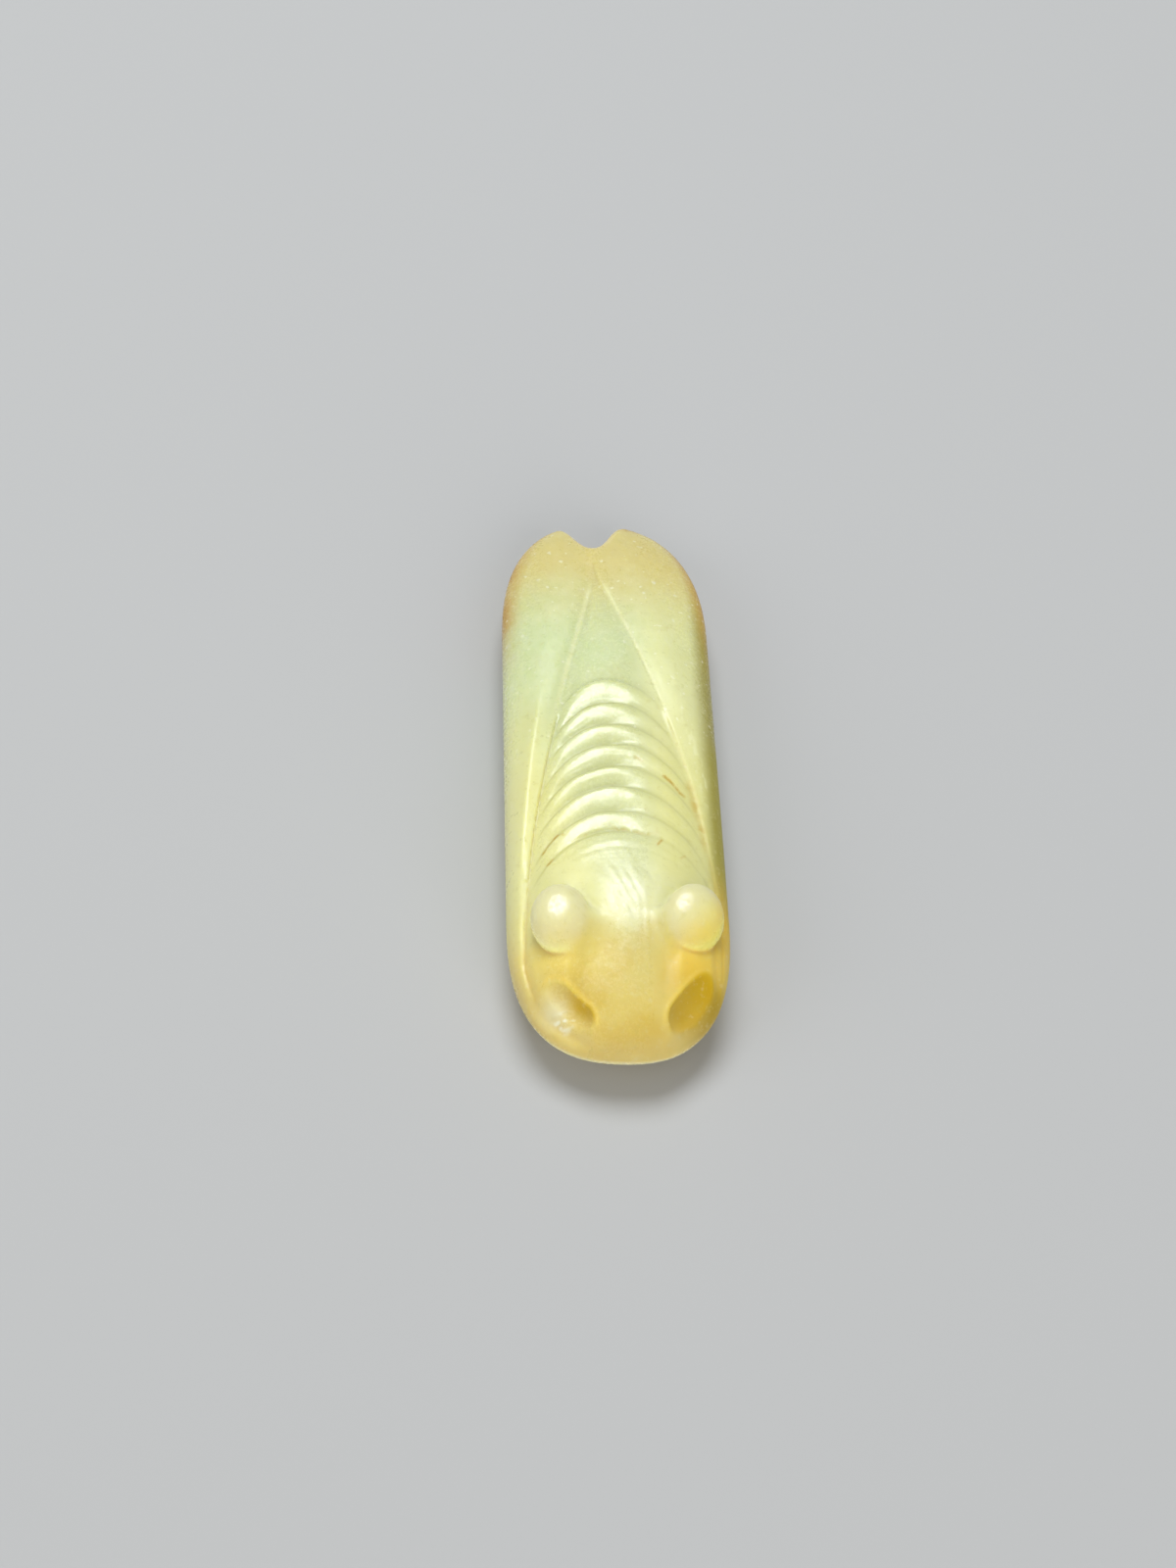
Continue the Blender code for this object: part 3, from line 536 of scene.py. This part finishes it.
def scoop_distance(points, start, start_radius, end, end_radius):
    """Distance to a rounded scoop, and how far out and forward a point lies, in shares of the radius."""
    side = np.sign(start[0])
    run = np.array(end) - np.array(start)
    share = np.clip((points - np.array(start)) @ run / (run @ run), 0.0, 1.0)
    radius = start_radius + share * (end_radius - start_radius)
    spread = points - (np.array(start) + share[:, None] * run)
    open_way = np.array([side * SCOOP_OPEN_WAY[0], *SCOOP_OPEN_WAY[1:]])
    soft_way = np.array([side * SCOOP_SOFT_WAY[0], *SCOOP_SOFT_WAY[1:]])
    outward = spread @ soft_way / radius
    spread = spread - SCOOP_STRETCH * np.maximum(spread @ open_way, 0.0)[:, None] * open_way
    return np.linalg.norm(spread, axis=1) - radius, outward


def notch_distance(x, y):
    """About the distance to the flared U between the wing tips, below 0 inside it."""
    along = np.linspace(0.0, 1.4, 60) ** 2 * NOTCH_INSET
    spread = NOTCH_HALF_WIDTH * np.sqrt(along / NOTCH_INSET) + NOTCH_FLARE * (along / NOTCH_INSET) ** 4
    fall = np.gradient(along, spread)
    out = np.abs(x - NOTCH_X)
    reach = np.interp(out, spread, along) + np.maximum(out - spread[-1], 0.0) * fall[-1]
    steep = np.interp(out, spread, fall)
    return (reach - (y - TAIL_REACH + NOTCH_INSET)) / np.sqrt(1.0 + steep ** 2)


def skin(points):
    """About the distance to the carved surface, below 0 inside the stone."""
    x, y, z = points[:, 0], points[:, 1], points[:, 2]
    raw = plain_body(x, y, z)
    slope = slope_of(lambda p: plain_body(p[:, 0], p[:, 1], p[:, 2]), points, 0.01)
    steep = np.maximum(np.linalg.norm(slope, axis=1), 1e-4)
    away = np.clip(raw / steep, -3.0, 6.0)
    upward = np.clip(slope[:, 2] / steep, 0.0, 1.0)
    carved = carving.at(carving.height, x, y)
    for center, half_sizes, _, _ in EYES:
        aside = (x - center[0]) * np.sign(center[0])
        out = np.hypot(x - center[0], y - center[1]) - half_sizes[0]
        moat = EYE_MOAT_DEPTH * ease((aside + 0.6) / 1.5) + EYE_BACK_DEPTH * ease((y - center[1]) / 2.0)
        moat = moat * (0.15 + 0.85 * ease((y - center[1] + 2.2) / 2.0))
        carved = carved - moat * bump(out, EYE_MOAT_WIDTH)
    over = np.clip(z - back_height(x, y), -3.0, 6.0) * upward
    on_top = ease((z - waist_height(y)) / 0.8)
    away = away + (over - away) * on_top * ease((upward - 0.15) / 0.2)
    distance = away - carved * upward * on_top
    worn = np.sin(11.0 * x + 3.0 * z + 2.0 * np.sin(5.0 * y)) * np.sin(9.0 * y - 2.0 * x)
    for (center, half_sizes, lean, nod), flat_height in zip(EYES, EYE_FLAT_HEIGHTS):
        eye = oval_distance(points, center, half_sizes, lean, nod) + EYE_WEAR * worn
        level = (points - np.array(center)) @ EYE_FLAT_WAY - flat_height
        eye = soft_max(eye, level + EYE_FLAT_WEAR * worn, 0.1)
        aside = (x - center[0]) * np.sign(center[0])
        behind = ease((y - center[1]) / 1.5)
        melt = ease((0.4 - aside) / 2.4) if center[0] < 0 else ease((-1.0 - aside) / 1.7)
        reach = 0.2 + 1.9 * melt * (1.0 - 0.8 * behind)
        distance = soft_min(distance, eye, reach)
    for scoop in HOLLOWS:
        hollow, outward = scoop_distance(points, *scoop)
        distance = soft_max(distance, -hollow, 0.05 + 2.3 * ease((outward + 0.25) / 0.9))
    distance = soft_max(distance, -notch_distance(x, y), 0.7)
    return soft_max(distance, -z, 0.12)


def grid_values():
    """Low corner of a grid around the carving, and skin() on it: exact near the surface, else rough."""
    low = np.array([-HALF_WIDTH - 0.6, -HEAD_REACH - 0.6, -0.4])
    high = np.array([HALF_WIDTH + 0.6, TAIL_REACH + 0.6, CREST_HEIGHT + 1.8])
    rough = ROUGH_CELLS
    counts = (np.ceil((high - low) / (CELL * rough)).astype(int) + 1) * rough
    axes = [low[a] + CELL * np.arange(counts[a]) for a in range(3)]
    centers = [axis.reshape(-1, rough).mean(axis=1) for axis in axes]
    block_points = np.stack(np.meshgrid(*centers, indexing="ij"), axis=-1).reshape(-1, 3)
    coarse = skin(block_points).reshape([len(c) for c in centers])
    values = np.repeat(np.repeat(np.repeat(coarse, rough, 0), rough, 1), rough, 2).astype(np.float32)
    near = np.abs(values) < CELL * rough * 1.5
    i, j, k = np.nonzero(near)
    points = np.stack([axes[0][i], axes[1][j], axes[2][k]], axis=1)
    found = np.concatenate([skin(part) for part in np.array_split(points, max(len(points) // 200000, 1))])
    values[i, j, k] = found
    return low, values


def netted(low, values):
    """A net over the zero surface, with one point for each cell that it crosses, and those cells."""
    inside = values < 0.0
    # crossings along the three kinds of edge, summed into the cells that share them
    shape = tuple(n - 1 for n in inside.shape)
    total = np.zeros(shape + (3,))
    hits = np.zeros(shape)
    crossings = []
    for axis in range(3):
        first = [slice(None)] * 3
        second = [slice(None)] * 3
        first[axis] = slice(0, -1)
        second[axis] = slice(1, None)
        a, b = values[tuple(first)], values[tuple(second)]
        cross = inside[tuple(first)] != inside[tuple(second)]
        at = np.argwhere(cross)
        va, vb = a[cross], b[cross]
        place = low + CELL * at
        place[:, axis] += CELL * va / (va - vb)
        crossings.append((axis, at, va < 0.0))
        others = [n for n in range(3) if n != axis]
        for du in (0, 1):
            for dv in (0, 1):
                cell = at.copy()
                cell[:, others[0]] -= du
                cell[:, others[1]] -= dv
                ok = np.all((cell >= 0) & (cell < np.array(shape)), axis=1)
                index = tuple(cell[ok].T)
                np.add.at(hits, index, 1.0)
                np.add.at(total, index, place[ok])
    used = hits > 0
    number = np.full(shape, -1, dtype=np.int64)
    number[used] = np.arange(used.sum())
    verts = total[used] / hits[used][:, None]
    faces = []
    for axis, at, leaving in crossings:
        u, v = (axis + 1) % 3, (axis + 2) % 3
        corner = []
        for du, dv in ((0, 0), (1, 0), (1, 1), (0, 1)):
            cell = at.copy()
            cell[:, u] -= du
            cell[:, v] -= dv
            corner.append(cell)
        ok = np.all([np.all((c >= 0) & (c < np.array(shape)), axis=1) for c in corner], axis=0)
        quad = np.stack([number[tuple(c[ok].T)] for c in corner], axis=1)
        flip = ~leaving[ok]
        quad[flip] = quad[flip][:, ::-1]
        faces.append(quad)
    return verts, np.concatenate(faces), np.argwhere(used)


def with_coarse_belly(verts, faces, cells):
    """The same net, with one point for each two by two by two cells of the belly."""
    belly = verts[:, 2] < BELLY_TOP
    group = np.arange(len(verts))
    key = (cells[:, 0] // 2 * 4096 + cells[:, 1] // 2) * 4096 + cells[:, 2] // 2
    _, label = np.unique(key[belly], return_inverse=True)
    group[belly] = len(verts) + label
    _, group = np.unique(group, return_inverse=True)
    weight = np.bincount(group)
    verts = np.stack([np.bincount(group, weights=verts[:, a]) / weight for a in range(3)], axis=1)
    return verts, group[faces]


def settled(verts):
    """The points moved onto the surface, by a few steps along its slope."""
    for _ in range(3):
        value = skin(verts)
        slope = slope_of(skin, verts, 0.03)
        size = np.maximum((slope ** 2).sum(axis=1), 0.05)
        verts = verts - np.clip(value / size, -0.12, 0.12)[:, None] * slope
    return verts


def unpaired(faces):
    """The faces without those that lie twice on the same corners."""
    _, group, counts = np.unique(np.sort(faces, axis=1), axis=0, return_inverse=True, return_counts=True)
    return faces[counts[group.ravel()] == 1]


def build_mesh(name, verts, faces, offset):
    """Quads, or triangles where the belly's coarser cells close a corner."""
    same = np.stack([faces[:, i] == faces[:, (i + 1) % 4] for i in range(4)], axis=1)
    distinct = 4 - same.sum(axis=1)
    cross = (faces[:, 0] == faces[:, 2]) | (faces[:, 1] == faces[:, 3])
    whole = faces[(distinct == 4) & ~cross]
    cut = (distinct == 3) & ~cross
    triangles = unpaired(faces[cut][~same[cut]].reshape(-1, 3))
    whole = unpaired(whole)
    mesh = bpy.data.meshes.new(name)
    mesh.vertices.add(len(verts))
    placed = (verts + offset) * MM
    mesh.vertices.foreach_set("co", placed.astype(np.float32).ravel())
    loops = np.concatenate([whole.ravel(), triangles.ravel()])
    mesh.loops.add(len(loops))
    mesh.loops.foreach_set("vertex_index", loops.astype(np.int32))
    starts = np.concatenate([np.arange(len(whole)) * 4, len(whole) * 4 + np.arange(len(triangles)) * 3])
    mesh.polygons.add(len(starts))
    mesh.polygons.foreach_set("loop_start", starts.astype(np.int32))
    mesh.update(calc_edges=True)
    mesh.validate()
    mesh.shade_smooth()
    return mesh


verts, faces = with_coarse_belly(*netted(*grid_values()))
verts = settled(verts)
low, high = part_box("jade_cicada")
offset = np.array([low[0] / MM + HALF_WIDTH, low[1] / MM + HEAD_REACH, 0.0])
mesh = build_mesh("jade_cicada_skin", verts, faces, offset)
skin_object = bpy.data.objects.new("jade_cicada_skin", mesh)
bpy.context.scene.collection.objects.link(skin_object)


# Marks on the skin that the stone's colours and gloss follow
def add_attribute(name, values):
    attribute = mesh.attributes.new(name, "FLOAT", "POINT")
    attribute.data.foreach_set("value", values.astype(np.float32))


def oval_share(points, center, half_sizes, lean, nod):
    """1 inside an oval ball, easing to 0 over a soft rim that is wider low on the ball."""
    low_part = ease((center[2] + 0.7 - points[:, 2]) / 1.2)
    return ease(0.5 + 0.35 * low_part - oval_distance(points, center, half_sizes, lean, nod) / 0.6)


def rim_mark(x, y):
    """The edge of the tail half."""
    flanks = ease((np.abs(x) / np.maximum(half_width(y), TINY) - 0.80) / 0.22) * ease((y - 8.0) / 12.0)
    return np.maximum(flanks, ease((y - TAIL_REACH + 2.0) / 1.8))


def hollow_marks(points):
    """The shaded walls of the two hollows, and their lit inner lips."""
    y, z = points[:, 1], points[:, 2]
    shade = np.zeros_like(y)
    lips = np.zeros_like(y)
    for scoop in HOLLOWS:
        hollow, outward = scoop_distance(points, *scoop)
        lips = np.maximum(lips, bump(hollow - 0.28, 0.22) * ease((-0.1 - outward) / 0.5) * (z > 6.0))
        on_wall = 1.0 - ease((np.abs(hollow) - 0.06) / 0.16)
        if scoop[0][0] < 0:
            wall = 0.8 * on_wall * ease((-0.05 - outward) / 0.7) * ease((-y - 27.0) / 2.0)
        else:
            wall = ease((0.5 - hollow) / 0.8) * (0.4 + 0.6 * on_wall) * ease((1.2 - outward) / 1.6)
        shade = np.maximum(shade, wall)
    return shade, lips


def eye_marks(x, y):
    """The painted glow on the cheeks below the eyes, and painted light on the dome beside them, where the
    eyes shade it.
    """
    glow = np.zeros_like(x)
    light = np.zeros_like(x)
    for center, half_sizes, _, _ in EYES:
        aside = (x - center[0]) * np.sign(center[0])
        below = ease((center[1] - 1.2 - y) / 1.2) * ease((y - center[1] + 6.0) / 2.5)
        glow = np.maximum(glow, below * bump(aside - 0.6, 2.6))
        out = np.hypot(x - center[0], y - center[1]) - half_sizes[0]
        inner = bump(out - 0.5, 1.1) * ease((0.5 - aside) / 2.0) * ease((y - center[1] + 1.0) / 1.5)
        light = np.maximum(light, inner)
    return glow, 0.6 * light * ease((-15.0 - y) / 3.0)


x, y, z = verts.T
on_top = z > waist_height(y)
eyes = np.maximum(*[oval_share(verts, *eye) for eye in EYES]) * ease((z - back_height(x, y) + 0.2) / 0.6)
bare = 1.0 - eyes
shade, lips = hollow_marks(verts)
glow, painted_light_beside_eyes = eye_marks(x, y)
add_attribute("eye", eyes)
add_attribute("rim", rim_mark(x, y))
add_attribute("stain", carving.at(carving.stain, x, y) * on_top)
# light: painted highlights on the lip and the right ridge, and painted light beside the eyes
add_attribute("light", np.maximum(carving.at(carving.light, x, y), painted_light_beside_eyes * bare) * on_top)
add_attribute("matte", carving.at(carving.matte, x, y) * on_top * bare)
add_attribute("groove", carving.at(carving.groove, x, y) * on_top * bare)
add_attribute("shade", shade)
# glow: painted glow below the eyes, and painted highlight on the hollows' inner lips
add_attribute("glow", np.maximum(glow * bare, lips))
add_attribute("painted_hollow_glints", carving.at(carving.painted_hollow_glints, x, y) * on_top)
# lip: painted highlight along the rim of the notch
add_attribute("lip", bump(notch_distance(x, y), 0.45) * ease((z - waist_height(y)) / 0.6))

# Stone
jade = bpy.data.materials.new("jade")
jade.use_nodes = True
tree = jade.node_tree
shader = tree.nodes["Principled BSDF"]


def node(kind, **values):
    made = tree.nodes.new(kind)
    for key, value in values.items():
        if hasattr(made, key):
            setattr(made, key, value)
        else:
            made.inputs[key].default_value = value
    return made


def link(source, target):
    tree.links.new(source, target)


def noise(scale, detail, roughness=0.5):
    """Noise whose scale is in grains per metre."""
    made = node("ShaderNodeTexNoise", Scale=scale, Detail=detail, Roughness=roughness)
    link(coordinates.outputs["Object"], made.inputs["Vector"])
    return made.outputs["Fac"]


def ramp(source, low, high, to_low=0.0, to_high=1.0):
    """Eases from one value to another as the source runs from low to high."""
    made = node("ShaderNodeMapRange", interpolation_type="SMOOTHSTEP")
    made.inputs["From Min"].default_value = low
    made.inputs["From Max"].default_value = high
    made.inputs["To Min"].default_value = to_low
    made.inputs["To Max"].default_value = to_high
    link(source, made.inputs["Value"])
    return made.outputs["Result"]


def math_node(operation, a, b=0.0, clamp=False):
    made = node("ShaderNodeMath", operation=operation)
    made.use_clamp = clamp
    for socket, value in zip(made.inputs, (a, b)):
        if isinstance(value, (int, float)):
            socket.default_value = value
        else:
            link(value, socket)
    return made.outputs["Value"]


def mix(factor, a, b):
    made = node("ShaderNodeMix", data_type="RGBA")
    for socket, value in ((made.inputs["Factor"], factor), (made.inputs[6], a), (made.inputs[7], b)):
        if isinstance(value, (int, float, tuple)):
            socket.default_value = value
        else:
            link(value, socket)
    return made.outputs[2]


def srgb(red, green, blue):
    """A colour given as it looks, out of 255."""
    def linear(value):
        value /= 255.0
        return value / 12.92 if value <= 0.04045 else ((value + 0.055) / 1.055) ** 2.4
    return (linear(red), linear(green), linear(blue), 1.0)


def mark(name):
    """One of the marks on the skin."""
    return node("ShaderNodeAttribute", attribute_name=name).outputs["Fac"]


coordinates = node("ShaderNodeTexCoord")
split = node("ShaderNodeSeparateXYZ")
link(coordinates.outputs["Object"], split.inputs["Vector"])
px, py, pz = split.outputs["X"], split.outputs["Y"], split.outputs["Z"]
eye_mark, rim, groove, wall_shade = mark("eye"), mark("rim"), mark("groove"), mark("shade")
clouds = noise(150.0, 4.0, 0.55)
fine_clouds = noise(700.0, 3.0, 0.6)
grain = noise(2600.0, 2.0, 0.6)
specks = noise(1500.0, 4.0, 0.65)
painted_tail_glints = noise(1900.0, 0.0)


def scaled(source, value):
    return math_node("MULTIPLY", source, value)


def toward(x_part, y_part, z_part, low, high, wander=0.0, to_high=1.0):
    """Eases from 0 to to_high as a weighted sum of the position, in metres, runs from low to high."""
    total = math_node("ADD", scaled(px, x_part), scaled(py, y_part))
    total = math_node("ADD", total, scaled(pz, z_part))
    if wander:
        total = math_node("ADD", total, scaled(math_node("SUBTRACT", clouds, 0.5), wander))
    return ramp(total, low, high, 0.0, to_high)


def spot(center, size, to_high=1.0):
    """1 at a place, easing to 0 at this distance, with a wandering rim. Metres."""
    away = node("ShaderNodeVectorMath", operation="DISTANCE")
    link(coordinates.outputs["Object"], away.inputs[0])
    away.inputs[1].default_value = center
    wander = scaled(math_node("SUBTRACT", clouds, 0.5), size * 0.8)
    return ramp(math_node("ADD", away.outputs["Value"], wander), size, size * 0.1, 0.0, to_high)


# Places on the carving, in metres
RIGHT_CHEEK = (0.0078, -0.0252, 0.009)
LEFT_CHEEK = (-0.0040, -0.0245, 0.0105)
FOREHEAD_PAINTED_SHEEN = (0.0014, -0.0190, 0.0115)
GLOSSY_DOME = (0.0008, -0.0190, 0.0115)
RIGHT_EYE_FOOT = (0.0088, -0.0224, 0.0096)
RIGHT_CORNER = (0.0098, -0.0290, 0.0066)
LEFT_HOLLOW_PAINTED_LIGHT = (-0.0064, -0.0293, 0.0072)

# How far the flank colour, with its painted shade, covers the body
side_share = toward(1.0, 0.0, 0.12, 0.0088, 0.0106, 0.001, 0.92)
# Dark amber at the right corner of the face: partly its own colour, partly painted shade at the outline
corner = spot(RIGHT_CORNER, 0.0064, 0.9)


def back_colour():
    """Pale celadon, greener to the tail on the left, warmer along the left flank and on the right."""
    celadon = mix(ramp(clouds, 0.35, 0.65), srgb(212, 215, 158), srgb(221, 224, 173))
    celadon = mix(toward(-1.0, -0.25, 0.0, 0.0040, 0.0095, 0.001, 0.6), celadon, srgb(244, 238, 164))
    green = mix(ramp(fine_clouds, 0.3, 0.7), srgb(209, 223, 170), srgb(218, 229, 184))
    body = mix(toward(-0.35, 0.6, 0.0, -0.002, 0.014, 0.012, 0.85), celadon, green)
    right = mix(toward(0.0, 1.0, 0.0, -0.0060, 0.0060), srgb(238, 230, 144), srgb(238, 235, 170))
    return mix(toward(1.0, 0.0, 0.0, 0.0010, 0.0050, 0.001, 0.5), body, right)


def flank_colour_and_shade():
    """The right flank: olive and darker than the back, partly its own colour and partly painted shade; amber
    beside the face, darker at the snout, again partly painted shade.
    """
    side = mix(toward(0.0, -1.0, 0.0, 0.0120, 0.0210), srgb(156, 146, 52), srgb(214, 176, 56))
    return mix(toward(0.0, -1.0, 0.0, 0.0250, 0.0280), side, srgb(174, 140, 18))


def eye_colour_and_glow():
    """Milky; lighter and warmer low on each eye, a painted glow of light through the stone; amber at the
    foot of the right one, partly its own colour and partly painted glow.
    """
    milky = mix(toward(0.0, 1.0, 0.3, -0.0222, -0.0196), srgb(255, 246, 168), srgb(222, 215, 182))
    milky = mix(toward(0.0, 1.0, 0.3, -0.0180, -0.0154), milky, srgb(222, 213, 180))
    milky = mix(ramp(pz, 0.0113, 0.0099, 0.0, 0.85), milky, srgb(255, 243, 172))
    return mix(spot(RIGHT_EYE_FOOT, 0.0054, 0.85), milky, srgb(255, 233, 102))


honey = mix(ramp(clouds, 0.4, 0.65), srgb(223, 203, 116), srgb(215, 188, 84))
head_share = toward(0.0, -1.0, 0.0, 0.0180, 0.0240)
# Painted light: the lower face lightened where it turns from the lamps, and a thin painted glow along its
# bottom edge
painted_lower_face_light = scaled(head_share, ramp(pz, 0.0088, 0.0060))
painted_edge_glow = scaled(head_share, ramp(pz, 0.0046, 0.0040))
patchy = math_node("MULTIPLY", mark("stain"), ramp(fine_clouds, 0.4, 0.62, 0.4, 1.0), clamp=True)
tail_half = toward(0.0, 1.0, 0.0, -0.0060, 0.0040, 0.0, 0.45)
# Each layer covers what lies before it: how much of it shows, and its colour
LAYERS = (
    (toward(0.0, -1.0, -0.5, 0.0115, 0.0245, 0.008), honey),
    (spot(RIGHT_CHEEK, 0.0060, 0.9), srgb(230, 190, 22)),
    (spot(LEFT_CHEEK, 0.0045, 0.35), srgb(230, 204, 84)),
    # The right flank darker olive: partly its own colour, partly painted shade
    (side_share, flank_colour_and_shade()),
    (toward(0.0, 1.0, 0.0, 0.012, 0.027, 0.008, 0.85), srgb(222, 204, 128)),
    # Brown skin along the edge of the tail half, darkened partly as painted shade at the outline
    (scaled(rim, ramp(clouds, 0.35, 0.6, 0.5, 0.95)), srgb(190, 142, 50)),
    # Painted highlights along the lip and the right ridge, and painted light beside the eyes
    (scaled(mark("light"), 0.75), srgb(238, 238, 186)),
    # Painted sheen: a whiter patch where the dome's highlight falls
    (spot(FOREHEAD_PAINTED_SHEEN, 0.0048, 0.35), srgb(240, 240, 210)),
    # Painted light on the lower face, and painted glow along its bottom edge
    (scaled(painted_lower_face_light, 0.45), srgb(236, 214, 138)),
    (scaled(painted_edge_glow, ramp(pz, 0.0020, 0.0032, 0.0, 0.9)), srgb(252, 240, 190)),
    # Painted shade at the right corner of the face, partly its own amber
    (corner, srgb(172, 140, 6)),
    # Painted glow below the eyes, and painted highlight on the hollows' inner lips
    (scaled(mark("glow"), 0.5), srgb(246, 220, 110)),
    (scaled(wall_shade, 0.85), srgb(200, 162, 0)),
    # Painted light on the floor of the left hollow
    (spot(LEFT_HOLLOW_PAINTED_LIGHT, 0.0026, 0.65), srgb(238, 236, 200)),
    # Painted shade, partly dirt, in the grooves between the ribs
    (scaled(groove, 0.3), srgb(192, 188, 92)),
    # Painted highlight along the rim of the notch
    (scaled(mark("lip"), 0.6), srgb(232, 208, 166)),
    # Painted glints on the floor of the left hollow
    (scaled(mark("painted_hollow_glints"), 0.9), srgb(250, 247, 222)),
    # The eyes: milky, with painted glow low on them
    (eye_mark, eye_colour_and_glow()),
    (ramp(specks, 0.46, 0.28, 0.0, 0.22), srgb(196, 186, 104)),
    (ramp(specks, 0.54, 0.74, 0.0, 0.22), srgb(242, 238, 190)),
    # Painted glints: white pinpoints on the tail half
    (scaled(ramp(painted_tail_glints, 0.77, 0.80), tail_half), srgb(250, 250, 226)),
    (scaled(patchy, 0.75), srgb(198, 162, 26)),
)
body = back_colour()
for layer_share, colour in LAYERS:
    body = mix(layer_share, body, colour)
link(body, shader.inputs["Base Color"])
shader.inputs["Subsurface Weight"].default_value = 0.9
shader.inputs["Subsurface Radius"].default_value = (1.0, 0.97, 0.6)
link(ramp(eye_mark, 0.0, 1.0, 0.0012, 0.0080), shader.inputs["Subsurface Scale"])
shader.inputs["IOR"].default_value = 1.61

# Gloss: grooves, hollow walls, right flank, tail rim and corner are dull; dome, worn spots, eyes are brushed
dull = math_node("ADD", groove, wall_shade)
dull = math_node("ADD", dull, scaled(side_share, 0.8))
dull = math_node("ADD", dull, scaled(rim, 0.7))
dull = math_node("ADD", dull, corner, clamp=True)
link(ramp(dull, 0.0, 1.0, 0.5, 0.08), shader.inputs["Specular IOR Level"])
scuffed = ramp(noise(1700.0, 3.0, 0.6), 0.50, 0.60, -0.09, 0.12)
brushed = math_node("ADD", scaled(spot(GLOSSY_DOME, 0.0065), 0.07), scaled(mark("matte"), 0.3))
brushed = math_node("ADD", brushed, scaled(eye_mark, scuffed))
link(math_node("ADD", ramp(grain, 0.3, 0.7, 0.20, 0.31), brushed), shader.inputs["Roughness"])
bumps = node("ShaderNodeBump")
bumps.inputs["Strength"].default_value = 0.3
bumps.inputs["Distance"].default_value = 0.00004
link(grain, bumps.inputs["Height"])
link(bumps.outputs["Normal"], shader.inputs["Normal"])
mesh.materials.append(jade)

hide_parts("jade_cicada")
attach(skin_object, "root")

# Floor
FLOOR_HALF = 1.2
floor_mesh = bpy.data.meshes.new("floor")
floor_corners = [(a * FLOOR_HALF, b * FLOOR_HALF, 0.0) for a, b in ((-1, -1), (1, -1), (1, 1), (-1, 1))]
floor_mesh.from_pydata(floor_corners, [], [(0, 1, 2, 3)])
floor = bpy.data.objects.new("floor", floor_mesh)
bpy.context.scene.collection.objects.link(floor)
floor_material = bpy.data.materials.new("floor")
floor_material.use_nodes = True
floor_shader = floor_material.node_tree.nodes["Principled BSDF"]
floor_shader.inputs["Base Color"].default_value = (0.5, 0.5, 0.495, 1.0)
floor_shader.inputs["Roughness"].default_value = 0.9
floor_mesh.materials.append(floor_material)


# Light
def area_light(name, direction, distance, size, power, shines):
    data = bpy.data.lights.new(name, "AREA")
    data.shape = "ELLIPSE"
    data.size, data.size_y = size
    data.energy = power
    data.color = (0.92, 0.96, 1.0) if shines else (1.0, 1.0, 1.0)
    lamp = bpy.data.objects.new(name, data)
    way = Vector(direction).normalized()
    lamp.location = way * distance
    lamp.rotation_euler = way.to_track_quat("Z", "Y").to_euler()
    lamp.visible_glossy = shines
    bpy.context.scene.collection.objects.link(lamp)


area_light("key", (-0.10, 0.357, 0.93), 0.9, (0.58, 0.42), 6.0, True)
area_light("fill", (-0.85, -0.35, 0.5), 1.2, (0.9, 0.9), 2.7, False)
area_light("front", (0.24, -0.9, 0.42), 1.2, (1.1, 1.1), 7.4, False)
world = bpy.data.worlds.new("studio")
world.use_nodes = True
background = world.node_tree.nodes["Background"]
background.inputs["Color"].default_value = (1.0, 0.99, 0.96, 1.0)
background.inputs["Strength"].default_value = 0.25
bpy.context.scene.world = world
bpy.context.scene.view_settings.view_transform = "Standard"

# Camera, placed from the photo's outline; the focal length is in pixels of its height
CAMERA_TILT, CAMERA_TURN, CAMERA_ROLL = math.radians(53.0), math.radians(7.0), math.radians(2.24)
CAMERA_DISTANCE, CAMERA_TARGET = 248.164, (-2.309, -1.62, 5.4)
CAMERA_FOCAL, PHOTO_HEIGHT, SENSOR_HEIGHT = 2600.0, 1600.0, 36.0
camera_data = bpy.data.cameras.new("camera")
camera = bpy.data.objects.new("camera", camera_data)
bpy.context.scene.collection.objects.link(camera)
back = Vector((-math.sin(CAMERA_TURN) * math.sin(CAMERA_TILT), -math.cos(CAMERA_TILT),
               math.cos(CAMERA_TURN) * math.sin(CAMERA_TILT)))
along = Vector((0.0, 1.0, 0.0))
up = (along - back * along.dot(back)).normalized()
up = math.cos(CAMERA_ROLL) * up + math.sin(CAMERA_ROLL) * up.cross(back)
right = up.cross(back)
place = (Vector(CAMERA_TARGET) + CAMERA_DISTANCE * back + Vector(offset)) * MM
camera.matrix_world = Matrix((
    (right.x, up.x, back.x, place.x),
    (right.y, up.y, back.y, place.y),
    (right.z, up.z, back.z, place.z),
    (0.0, 0.0, 0.0, 1.0)))
camera_data.sensor_fit = "VERTICAL"
camera_data.sensor_height = SENSOR_HEIGHT
camera_data.lens = CAMERA_FOCAL / PHOTO_HEIGHT * SENSOR_HEIGHT
camera_data.clip_start = 0.01
bpy.context.scene.camera = camera
